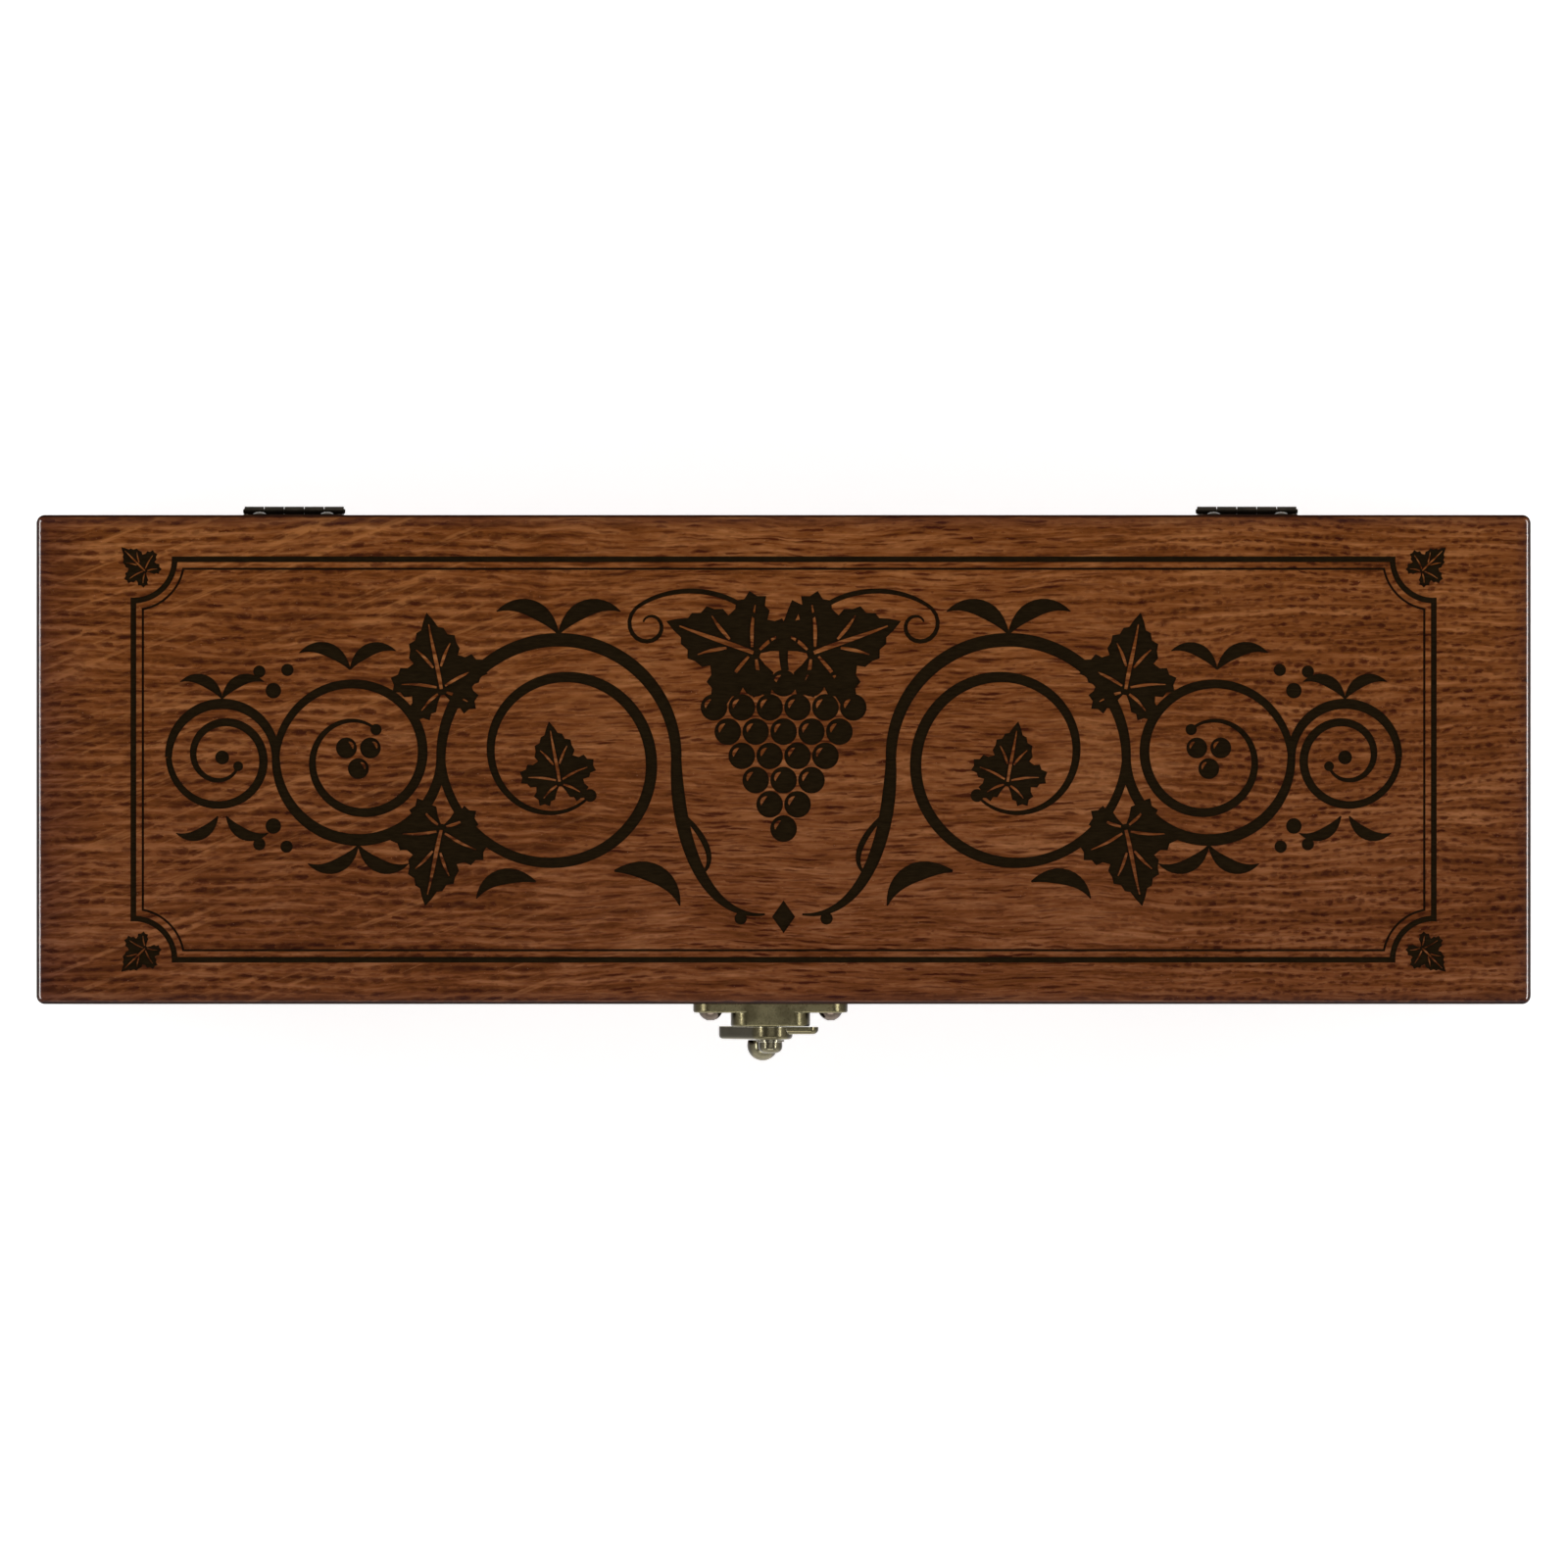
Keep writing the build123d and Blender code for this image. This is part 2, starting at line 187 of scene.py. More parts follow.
class Field:
    # a value that changes over the surface; a sum with it adds the Math node that works it out
    def __init__(self, socket):
        self.socket, self.tree = socket, socket.id_data

    def __add__(self, other): return calc("ADD", self, other)
    def __sub__(self, other): return calc("SUBTRACT", self, other)
    def __rsub__(self, other): return calc("SUBTRACT", other, self)
    def __mul__(self, other): return calc("MULTIPLY", self, other)
    def __truediv__(self, other): return calc("DIVIDE", self, other)


def screenColour(*levels):
    # a colour as a screen shows it, 0 to 255, made linear
    shares = [level / 255 for level in levels]
    return (*[s / 12.92 if s <= 0.04045 else ((s + 0.055) / 1.055) ** 2.4 for s in shares], 1.0)


def feed(socket, value):
    if isinstance(value, Field):
        value.tree.links.new(value.socket, socket)
    else:
        socket.default_value = value


def addNode(kind, values, **settings):
    # a node beside the fields that feed it; each value goes by the number or name of its socket
    values = values if isinstance(values, dict) else dict(enumerate(values))
    tree = next(value.tree for value in values.values() if isinstance(value, Field))
    node = setAll(tree.nodes.new("ShaderNode" + kind), **settings)
    for key, value in values.items():
        feed(node.inputs[key], value)
    return [Field(socket) for socket in node.outputs]


def source(tree, kind, output):
    # a field from a node that nothing feeds
    return Field(tree.nodes.new("ShaderNode" + kind).outputs[output])


def calc(operation, *values):
    return addNode("Math", values, operation=operation)[0]


def scaled(value, by, plus):
    return calc("MULTIPLY_ADD", value, by, plus)


def larger(first, second):
    return calc("MAXIMUM", first, second)


def vectorCalc(operation, *values):
    vector, number = addNode("VectorMath", values, operation=operation)
    return number if operation in ("LENGTH", "DOT_PRODUCT") else vector


def slide(value, low, high, outLow=0.0, outHigh=1.0):
    values = (value, low, high, outLow, outHigh)
    return addNode("MapRange", values, interpolation_type="SMOOTHSTEP")[0]


def noiseOf(vector, size, detail=2.0, rough=0.5):
    # size is the spacing of the noise along each axis, in the vector's own unit
    spaced = vectorCalc("DIVIDE", vector, size)
    return addNode("TexNoise", {"Vector": spaced, "Scale": 1.0, "Detail": detail, "Roughness": rough})[0]


def mixColours(factor, first, second, how="MIX"):
    # the colour sockets of a Mix node are numbers 6 and 7, and its colour comes out of number 2
    return addNode("Mix", {0: factor, 6: first, 7: second}, data_type="RGBA", blend_type=how)[2]


def tinted(colour, tint):
    return mixColours(1.0, colour, tint, "MULTIPLY")


def ramp(factor, stops):
    node = factor.tree.nodes.new("ShaderNodeValToRGB")
    marks = node.color_ramp.elements
    marks[0].position, marks[0].color = stops[0]
    marks[1].position, marks[1].color = stops[-1]
    for place, colour in stops[1:-1]:
        marks.new(place).color = colour
    feed(node.inputs[0], factor)
    return Field(node.outputs[0])


def split(vector):
    return addNode("SeparateXYZ", [vector])


def joined(x, y, z=0.0):
    return addNode("CombineXYZ", [x, y, z])[0]


def objectPlace(tree):
    # object coordinates in millimetres
    return vectorCalc("MULTIPLY", source(tree, "TexCoord", "Object"), (1000, 1000, 1000))


def newGroup(name, inputs, outputs):
    # inputs come with plain values, which tell their kind; of the outputs only Colour is a colour
    group = bpy.data.node_groups.new(name, "ShaderNodeTree")
    kinds = {1: "NodeSocketFloat", 3: "NodeSocketVector", 4: "NodeSocketColor"}
    for label, value in inputs.items():
        kind = kinds[len(value) if isinstance(value, tuple) else 1]
        group.interface.new_socket(label, in_out="INPUT", socket_type=kind).default_value = value
    for label in outputs:
        kind = kinds[4 if label == "Colour" else 1]
        group.interface.new_socket(label, in_out="OUTPUT", socket_type=kind)
    entry = group.nodes.new("NodeGroupInput").outputs
    finish = group.nodes.new("NodeGroupOutput").inputs
    return group, {label: Field(entry[label]) for label in inputs}, finish


def useGroup(tree, group, values):
    node = tree.nodes.new("ShaderNodeGroup")
    node.node_tree = group
    for label, value in values.items():
        feed(node.inputs[label], value)
    return {socket.name: Field(socket) for socket in node.outputs}


def newFinish(name, constants):
    # a material with one Principled BSDF, whose plain values are set on its own sockets
    material = bpy.data.materials.new(name)
    material.use_nodes = True
    tree = material.node_tree
    shader = tree.nodes["Principled BSDF"]
    for label, value in constants.items():
        shader.inputs[label].default_value = value
    return material, tree, shader


bumps = {       # strength, and depth in millimetres
    "veneer": (0.8, 0.06), "burnt": (0.6, 0.05), "raw": (0.5, 0.1), "plating": (0.5, 0.03),
    "blackVelvet": (0.7, 0.18), "blackFelt": (0.7, 0.2),
}


def cover(shader, colour, roughness, height, bump):
    # what every finish has: colour, roughness and a fine relief
    strength, depth = bumps[bump]
    relief = {"Strength": strength, "Distance": depth * mm, "Height": height}
    feed(shader.inputs["Base Color"], colour)
    feed(shader.inputs["Roughness"], roughness)
    feed(shader.inputs["Normal"], addNode("Bump", relief)[0])


# floor, world and lamps: plain soft studio light, darkest straight overhead so that the lacquer stays clear

studio = {
    "floorSize": 14.0, "floorDrop": 0.0002, "floorWhite": 0.82, "floorRough": 0.9, "floorGlow": 0.62,
    "horizon": 0.95, "zenith": 0.14, "zenithFrom": 0.9, "aimHeight": 0.1,
}
lamps = tabled(("place", "size", "watts"), {        # metres
    "leftStrip": ((-1.25, 0, 1.1), (1.5, 0.16), 6.4),
    "rightStrip": ((1.25, 0, 1.1), (1.5, 0.16), 6.4),
    "frontStrip": ((0, -1.5, 1.25), (1.6, 0.5), 5.4),
    "backStrip": ((0, 1.5, 1.25), (1.6, 0.5), 5.4),
})
glossLamps = tabled(("place", "size", "watts", "pieces"), {     # lamps that only some pieces mirror
    "leftSheen": ((-1.2, 0, 1.15), (1.6, 0.7), 85.0, "lacquered"),
    "rightSheen": ((1.2, 0, 1.15), (1.6, 0.7), 85.0, "lacquered"),
    "metalGlow": ((0.1, -0.25, 1.5), (0.9, 0.6), 0.9, "plated"),
})


def addLamp(name, lamp):
    # a rectangular lamp that looks at the box
    aim = Vector((0, 0, studio["aimHeight"])) - Vector(lamp["place"])
    aim = aim.to_track_quat("-Z", "Y").to_euler()
    light = addNew(bpy.ops.object.light_add, type="AREA", location=lamp["place"], rotation=aim)
    light.name = name
    wide, deep = lamp["size"]
    setAll(light.data, shape="RECTANGLE", size=wide, size_y=deep, energy=lamp["watts"])
    return light


def makeStudio():
    low = -studio["floorDrop"]
    floor = addNew(bpy.ops.mesh.primitive_plane_add, size=studio["floorSize"], location=(0, 0, low))
    floor.name = "studioFloor"
    white = studio["floorWhite"]
    material, tree, shader = newFinish("paleFloor", {
        "Roughness": studio["floorRough"], "Specular IOR Level": 0.0,
        "Base Color": (white, white, white, 1), "Emission Color": (1, 1, 1, 1),
    })
    rays = [source(tree, "LightPath", f"Is {ray} Ray") for ray in ("Camera", "Glossy", "Transmission")]
    feed(shader.inputs["Emission Strength"], larger(larger(*rays[:2]), rays[2]) * studio["floorGlow"])
    floor.data.materials.append(material)

    world = bpy.data.worlds.new("softRoom")
    bpy.context.scene.world = world
    world.use_nodes = True
    tree = world.node_tree
    upward = split(source(tree, "TexCoord", "Generated"))[2]
    gradient = slide(upward, 0.0, studio["zenithFrom"], studio["horizon"], studio["zenith"])
    level = larger(gradient, source(tree, "LightPath", "Is Camera Ray"))
    feed(tree.nodes["Background"].inputs["Color"], joined(level, level, level))

    for name, lamp in lamps.items():
        addLamp(name, lamp)


def lightGloss(pieces):
    # the pale line along the lid's left and right edges, and a soft overhead reflection in the metal
    receivers = {}
    for kind, found in pieces.items():
        receivers[kind] = bpy.data.collections.new(kind)
        for piece in found:
            receivers[kind].objects.link(piece)
    for name, lamp in glossLamps.items():
        light = addLamp(name, lamp)
        light.visible_diffuse = False
        light.light_linking.receiver_collection = receivers[lamp["pieces"]]


makeStudio()
print("floor, world and lamps made")


# wood: a stained veneer with short dark pores in rows, fine fibre and lighter rays

grain = {           # noises by their spacing along and across the grain in millimetres
    "facing": 0.7, "shiftAlong": 97.0, "shiftAcross": 41.0,
    "sway": (85, 38, 1), "swayBy": 8.0, "ripple": (15, 6, 1), "rippleBy": 2.0,
    "border": (40, 25, 1), "borderBy": 90.0, "leftPart": (-20.0, -85.0), "rightPart": (60.0, 115.0),
    "fibre": (8, 0.8, 1), "rows": (22, 1.9, 1), "band": (60, 8, 1), "cloud": (48, 34, 1),
    "rays": (34, 1.8, 1), "rayTilt": 22, "raySway": 4.0, "raySlice": 3.7,
    "patch": (14, 4, 1), "glintSpeck": (0.55, 0.36, 1),
}
poreKinds = tabled(("Cell Length", "Row Spacing", "Half Length", "Half Width", "Presence", "Scatter"), {
    "dashes": (4.0, 2.6, 2.2, 0.6, 0.98, 0.45),
    "streaks": (7.6, 1.5, 4.0, 0.33, 0.86, 0.95),
    "dots": (2.6, 2.2, 1.3, 0.56, 0.97, 0.5),
    "fine": (2.4, 1.1, 1.0, 0.30, 0.70, 1.0),
})


def placeOnBoard(group, endBoard, shift):
    # where a point lies on its board, along and across the grain, in millimetres
    x, y, z = split(objectPlace(group))
    outward = split(vectorCalc("ABSOLUTE", source(group, "TexCoord", "Normal")))
    endFace, topFace = [calc("GREATER_THAN", outward[k], grain["facing"]) for k in (0, 2)]
    turned = larger(endFace, topFace * endBoard)
    along = x + turned * (y - x) + shift * grain["shiftAlong"]
    flatAcross = y + endBoard * (x - y)
    across = z + topFace * (flatAcross - z) + shift * grain["shiftAcross"]
    return joined(along, across, shift)


def poreMask(entry, place, stretch, widen, edge, chance, depth):
    # a soft spot about the middle of its cell, in those cells that have one
    du, dv = place[0] / (entry["Half Length"] * stretch), place[1] / (entry["Half Width"] * widen)
    mask = slide(vectorCalc("LENGTH", joined(du, dv)), *edge)
    return mask * (calc("LESS_THAN", chance, entry["Presence"]) * depth)


def makePoreDashes():
    # short dashes, one to a scattered cell, with ragged ends
    group, entry, finish = newGroup("poreDashes", {"Place": (0, 0, 0), **poreKinds["fine"]}, ["Mask"])
    ragged = noiseOf(entry["Place"], (2.2, 0.7, 1), 2.0, 0.6) - 0.5
    u, v, w = split(entry["Place"])
    cellSize = joined(entry["Cell Length"], entry["Row Spacing"], 1.0)
    place = vectorCalc("DIVIDE", joined(u + ragged * 1.6, v + ragged * 0.7, w), cellSize)
    values = {"Vector": place, "Scale": 1.0, "Randomness": entry["Scatter"]}
    chances, centre = addNode("TexVoronoi", values, voronoi_dimensions="2D")[1:3]
    offset = split(vectorCalc("MULTIPLY", vectorCalc("SUBTRACT", place, centre), cellSize))
    first, second, third = addNode("SeparateColor", [chances])
    stretch, widen = slide(first, 0.0, 1.0, 0.5, 1.25), slide(third, 0.0, 1.0, 0.7, 1.25)
    depth = scaled(third, 0.55, 0.55)
    feed(finish["Mask"], poreMask(entry, offset, stretch, widen, (1.25, 0.35), second, depth))
    return group


def makeRowPores():
    # short dashes that keep to rows, one to a cell of its row, as in ring-porous wood
    group, entry, finish = newGroup(
        "rowPores", {"Place": (0, 0, 0), **poreKinds["dashes"]}, ["Mask", "Row Shade"]
    )
    ragged = noiseOf(entry["Place"], (1.6, 0.8, 1), 2.0, 0.7) - 0.5
    wander = noiseOf(entry["Place"], (9, 5, 1), 1.0) - 0.5
    place = split(entry["Place"])
    inRows = (place[1] + scaled(ragged, 1.1, wander * 1.8)) / entry["Row Spacing"]
    row = calc("FLOOR", inRows)
    fromRow = inRows - row - 0.5
    rowStart = addNode("TexWhiteNoise", {"W": row + 0.5}, noise_dimensions="1D")[0] * 7.3
    inCells = (place[0] + ragged * 2.8) / entry["Cell Length"] + rowStart
    cell = calc("FLOOR", inCells)
    fromCell = inCells - cell - 0.5
    values = {"Vector": joined(cell + 0.5, row + 0.5)}
    chance, chances = addNode("TexWhiteNoise", values, noise_dimensions="2D")
    first, second, third = addNode("SeparateColor", [chances])
    du = (fromCell - (first - 0.5) * 0.34) * entry["Cell Length"]
    dv = (fromRow - (third - 0.5) * entry["Scatter"]) * entry["Row Spacing"]
    stretch, widen, depth = scaled(second, 0.75, 0.5), scaled(first, 0.7, 0.65), scaled(second, 0.45, 0.55)
    feed(finish["Mask"], poreMask(entry, (du, dv), stretch, widen, (1.3, 0.3), chance, depth))
    feed(finish["Row Shade"], slide(calc("ABSOLUTE", fromRow), 0.42, 0.08))
    return group


def makeVeneer(poreDashes, rowPores):
    # the stained figure itself: colour, pore depth and how glossy the lacquer lies
    group, entry, finish = newGroup(
        "stainedVeneer", {"End Board": 0.0, "Shift": 0.0}, ["Colour", "Height", "Roughness"]
    )
    onBoard = placeOnBoard(group, entry["End Board"], entry["Shift"])
    u, straightV, w = split(onBoard)
    sway = noiseOf(onBoard, grain["sway"], 1.0) - 0.5
    ripple = noiseOf(onBoard, grain["ripple"], 2.0) - 0.5
    place = joined(u, straightV + (sway * grain["swayBy"] + ripple * grain["rippleBy"]), w)

    # the left, middle and right of a board differ, with soft borders
    station = u + (noiseOf(onBoard, grain["border"], 1.0) - 0.5) * grain["borderBy"]
    leftPart = slide(station, *grain["leftPart"])
    rightPart = slide(station, *grain["rightPart"])
    middlePart = 1.0 - leftPart - rightPart

    # fibre, growth rows and broad bands
    fibre = noiseOf(place, grain["fibre"], 3.0, 0.6)
    rows = noiseOf(place, grain["rows"])
    band = noiseOf(place, grain["band"])
    cloud = noiseOf(onBoard, grain["cloud"])
    inRow = useGroup(group, rowPores, {"Place": place, **poreKinds["dashes"]})
    inDots = useGroup(group, rowPores, {"Place": place, **poreKinds["dots"]})
    shade = inRow["Row Shade"] * (leftPart * 0.062) + inDots["Row Shade"] * (rightPart * 0.045)
    tone = fibre * 0.32 + rows * 0.36 + band * 0.18 + cloud * 0.14 - shade
    colour = ramp(tone, [
        (0.36, screenColour(80, 39, 11)),
        (0.44, screenColour(105, 57, 21)),
        (0.50, screenColour(123, 71, 34)),
        (0.56, screenColour(140, 88, 49)),
        (0.65, screenColour(162, 108, 64)),
    ])

    # lighter rays that rise to the right, strongest at the left
    cosine, sine = math.cos(math.radians(grain["rayTilt"])), math.sin(math.radians(grain["rayTilt"]))
    rayPlace = scaled(sway, grain["raySway"], straightV)
    rayPlace = joined(u * cosine + rayPlace * sine, rayPlace * cosine - u * sine, grain["raySlice"])
    rays = slide(noiseOf(rayPlace, grain["rays"], 3.0, 0.55), 0.52, 0.70)
    rays = rays * slide(leftPart, 0.0, 1.0, 0.14, 0.85) * slide(cloud, 0.36, 0.56, 0.35, 1.0)
    colour = mixColours(rays, colour, screenColour(154, 99, 55))

    # four kinds of pore: dashes at the left, streaks in the middle, dots at the right, fine ones all over
    def pores(kind):
        return useGroup(group, poreDashes, {"Place": place, **poreKinds[kind]})["Mask"]

    dashes = inRow["Mask"] * scaled(leftPart, 0.92, middlePart * 0.22)
    streaks = pores("streaks") * (middlePart + leftPart * 0.35)
    dots = inDots["Mask"] * (rightPart + middlePart * 0.2)
    pore = larger(larger(dashes, streaks), larger(dots, pores("fine") * 0.45))
    pore = pore * slide(noiseOf(place, grain["patch"], 1.0), 0.30, 0.60, 0.7, 1.0)
    colour = mixColours(pore, colour, tinted(colour, screenColour(138, 106, 86)))

    # tiny pale specks: painted glints, standing for light caught on the pores' edges
    glintSpeck = slide(noiseOf(onBoard, grain["glintSpeck"], 1.0), 0.72, 0.80) * 0.45
    feed(finish["Colour"], mixColours(glintSpeck, colour, screenColour(176, 130, 96)))
    feed(finish["Height"], fibre * 0.5 - pore)
    feed(finish["Roughness"], pore * 0.12 + slide(cloud, 0.3, 0.7, 0.34, 0.42))
    return group


veneerGroup = makeVeneer(makePoreDashes(), makeRowPores())

lacquer = {"Specular IOR Level": 0.0, "Coat Weight": 0.55, "Coat Roughness": 0.12, "Coat IOR": 1.5}
sideBoards = {"coat": 0.3, "tint": (0.88, 0.83, 0.82, 1)}
boards = tabled(("End Board", "Shift"), {
    "panelVeneer": (0.0, 0.0),
    "lidLongVeneer": (0.0, 3.0), "lidEndVeneer": (1.0, 5.0),
    "baseLongVeneer": (0.0, 8.0), "baseEndVeneer": (1.0, 11.0),
})
panel = {           # millimetres from the middle of the lid, and heights
    "backTint": (1.13, 1.08, 0.93, 1), "frontTint": (0.93, 0.88, 0.98, 1), "tintFrom": 55.0, "tintTo": -60.0,
    "endTint": (0.66, 0.62, 0.86, 1), "leftEnd": 164.0, "rightEnd": 172.0, "endFade": 18.0,
    "endNoise": (30, 12, 1), "endDrift": 16.0, "rimX": 180.25, "rimY": 58.5, "rimRise": -5.0,
    "sideFrom": 112.9, "sideTo": 112.0, "bareBack": (58.0, 58.4), "bareFront": (-57.9, -58.3),
}


def makeVeneerFinish(name):
    material, tree, shader = newFinish(name, {**lacquer, "Coat Weight": sideBoards["coat"]})
    figure = useGroup(tree, veneerGroup, boards[name])
    colour = tinted(figure["Colour"], sideBoards["tint"])
    cover(shader, colour, figure["Roughness"], figure["Height"], "veneer")
    return material


def makePanelFinish(name):
    # the lid's top: the same veneer, redder and darker towards the front, with painted shade darkening its rounded rim
    material, tree, shader = newFinish(name, lacquer)
    figure = useGroup(tree, veneerGroup, boards[name])
    x, y, z = split(objectPlace(tree))
    frontward = slide(y, panel["tintFrom"], panel["tintTo"])
    colour = tinted(figure["Colour"], mixColours(frontward, panel["backTint"], panel["frontTint"]))
    drift = scaled(noiseOf(joined(x, y), panel["endNoise"]), panel["endDrift"], -panel["endDrift"] / 2)
    nearEnd = larger(x * -1.0 - panel["leftEnd"], x - panel["rightEnd"])
    nearEnd = slide(nearEnd + drift, 0.0, panel["endFade"])
    colour = mixColours(nearEnd, colour, tinted(colour, panel["endTint"]))
    upright = slide(z, panel["sideFrom"], panel["sideTo"])
    rim = larger(calc("ABSOLUTE", x) - panel["rimX"], calc("ABSOLUTE", y) - panel["rimY"])
    rim = scaled(upright, panel["rimRise"], rim)
    # painted shade: darker within a few millimetres of the rim and near black on the rounding, standing for its dark
    # reflection
    colour = mixColours(slide(rim, -3.2, 0.0, 0.0, 0.34), colour, screenColour(60, 37, 36))
    colour = mixColours(slide(rim, -0.1, 0.4, 0.0, 0.85), colour, screenColour(30, 18, 14))
    colour = mixColours(upright, colour, tinted(colour, sideBoards["tint"]))

    # the lacquer is rubbed thin on the outermost edge, along the front and most of all along the back
    bare = larger(slide(rim, 0.35, 0.6), slide(y, *panel["bareBack"]))
    bare = larger(bare, slide(y, *panel["bareFront"], 0.0, 0.3))
    coat = scaled(bare, -lacquer["Coat Weight"], lacquer["Coat Weight"])
    feed(shader.inputs["Coat Weight"], coat * (1.0 - upright) + upright * sideBoards["coat"])
    cover(shader, colour, figure["Roughness"], figure["Height"], "veneer")
    return material


def makeBurntFinish():
    # the floor and walls of the engraving
    material, tree, shader = newFinish("burntEngraving", {"Specular IOR Level": 0.0})
    soot = noiseOf(objectPlace(tree), (2.4, 0.5, 0.5), 3.0, 0.6)
    colour = ramp(soot, [(0.3, screenColour(26, 19, 9)), (0.7, screenColour(37, 28, 15))])
    cover(shader, colour, slide(soot, 0.3, 0.7, 0.72, 0.86), soot, "burnt")
    return material


def makeRawFinish():
    # the unfinished bottom board, seen only round the felt's edge
    material, tree, shader = newFinish("rawBottom", {"Specular IOR Level": 0.2})
    where = objectPlace(tree)
    streak = noiseOf(where, (30, 1.4, 1.4), 4.0, 0.6)
    fleck = slide(noiseOf(where, (3, 0.4, 0.4)), 0.55, 0.7, 0.0, 0.5)
    colour = ramp(streak, [(0.3, (0.30, 0.19, 0.10, 1)), (0.55, (0.42, 0.28, 0.16, 1)), (0.75, (0.52, 0.37, 0.22, 1))])
    colour = mixColours(fleck, colour, (0.22, 0.13, 0.07, 1))
    cover(shader, colour, slide(streak, 0.3, 0.7, 0.7, 0.85), streak, "raw")
    return material


veneer = {name: (makePanelFinish if name == "panelVeneer" else makeVeneerFinish)(name) for name in boards}
burntEngraving = makeBurntFinish()
rawBottom = makeRawFinish()
print("wood finishes made")


# metal: cast and stamped brass with an aged plating, paler where edges rub

platings = tabled(("Deep", "Body", "Worn", "Edge Width", "Smoothness"), {
    "antiqueBrass": ((44, 38, 24), (136, 128, 96), (206, 198, 168), 0.0002, 0.26),
    "hookBrass": ((24, 20, 13), (124, 116, 88), (236, 229, 204), 0.0003, 0.20),
    "polishedBrass": ((24, 20, 14), (140, 133, 108), (244, 238, 220), 0.00024, 0.16),
    "screwMetal": ((52, 45, 38), (116, 103, 92), (206, 190, 176), 0.00012, 0.18),
    # painted shade: the hinges and their screws are the catch's brass, painted darker because they lie in shade
    "darkBronze": ((30, 26, 21), (50, 44, 37), (78, 70, 58), 0.0001, 0.36),
    "darkScrew": ((38, 33, 27), (74, 67, 57), (176, 164, 144), 0.00012, 0.22),
})
for plating in platings.values():
    for label in ("Deep", "Body", "Worn"):
        plating[label] = screenColour(*plating[label])
aging = {"blotch": (5.5, 5.5, 5.5), "grit": (0.45, 0.45, 0.45), "bevelSamples": 4}


def makePatina():
    group, entry, finish = newGroup("agedPlating", platings["antiqueBrass"], ["Colour", "Roughness", "Height"])
    where = objectPlace(group)
    blotch = noiseOf(where, aging["blotch"], 3.0, 0.6)
    grit = noiseOf(where, aging["grit"], 3.0, 0.65)
    rounded = addNode("Bevel", {"Radius": entry["Edge Width"]}, samples=aging["bevelSamples"])[0]
    plain = source(group, "NewGeometry", "Normal")
    edge = slide(vectorCalc("DOT_PRODUCT", rounded, plain), 0.995, 0.90) * slide(grit, 0.35, 0.6, 0.5, 1.0)
    # painted shade: faces that look sideways, along x, take the deep colour, standing for dark reflections there;
    # blotches of real tarnish come anywhere
    sidewaysShade = calc("ABSOLUTE", split(source(group, "TexCoord", "Normal"))[0])
    tarnishAndShade = larger(slide(sidewaysShade, 0.35, 0.85, 0.0, 0.85), slide(blotch, 0.56, 0.34, 0.0, 0.4))
    colour = mixColours(tarnishAndShade, entry["Body"], entry["Deep"])
    colour = mixColours(slide(grit, 0.50, 0.70, 0.0, 0.4), colour, entry["Deep"])
    feed(finish["Colour"], mixColours(edge * 0.75, colour, entry["Worn"]))
    rough = entry["Smoothness"] + slide(blotch, 0.35, 0.65, 0.06, -0.02)
    feed(finish["Roughness"], rough - edge * 0.05)
    feed(finish["Height"], grit * 0.6 + blotch * 0.4)
    return group


patina = makePatina()


def makePlating(name):
    material, tree, shader = newFinish(name, {"Metallic": 1.0})
    aged = useGroup(tree, patina, platings[name])
    cover(shader, aged["Colour"], aged["Roughness"], aged["Height"], "plating")
    return material


metal = {name: makePlating(name) for name in platings}
print("metal finishes made")


# cloth: black velvet with a brushed nap, and thin felt

cloths = tabled(("Shadow", "Light", "Pile"), {
    "blackVelvet": ((0.0045, 0.004, 0.005, 1), (0.021, 0.019, 0.022, 1), 0.35),
    "blackFelt": ((0.007, 0.0065, 0.0065, 1), (0.024, 0.022, 0.022, 1), 0.6),
})
sheens = {"blackVelvet": 0.35, "blackFelt": 0.08}


def makeNap():
    group, entry, finish = newGroup("brushedNap", cloths["blackVelvet"], ["Colour", "Roughness", "Height"])
    where = objectPlace(group)
    brushed = noiseOf(where, (26, 17, 17), 3.0, 0.55)
    tuft = noiseOf(where, joined(entry["Pile"], entry["Pile"], entry["Pile"]), 2.0, 0.7)
    amount = slide(brushed, 0.3, 0.7) * 0.4 + tuft * 0.6
    feed(finish["Colour"], mixColours(amount, entry["Shadow"], entry["Light"]))
    feed(finish["Roughness"], slide(tuft, 0.3, 0.7, 0.78, 0.96))
    feed(finish["Height"], tuft)
    return group


nap = makeNap()


def makeCloth(name):
    material, tree, shader = newFinish(name, {
        "Specular IOR Level": 0.1, "Sheen Weight": sheens[name],
        "Sheen Roughness": 0.35, "Sheen Tint": (0.55, 0.53, 0.58, 1),
    })
    cloth = useGroup(tree, nap, cloths[name])
    cover(shader, cloth["Colour"], cloth["Roughness"], cloth["Height"], name)
    return material


cloth = {name: makeCloth(name) for name in cloths}
print("cloth finishes made")


# finishes of the CAD nodes that stay

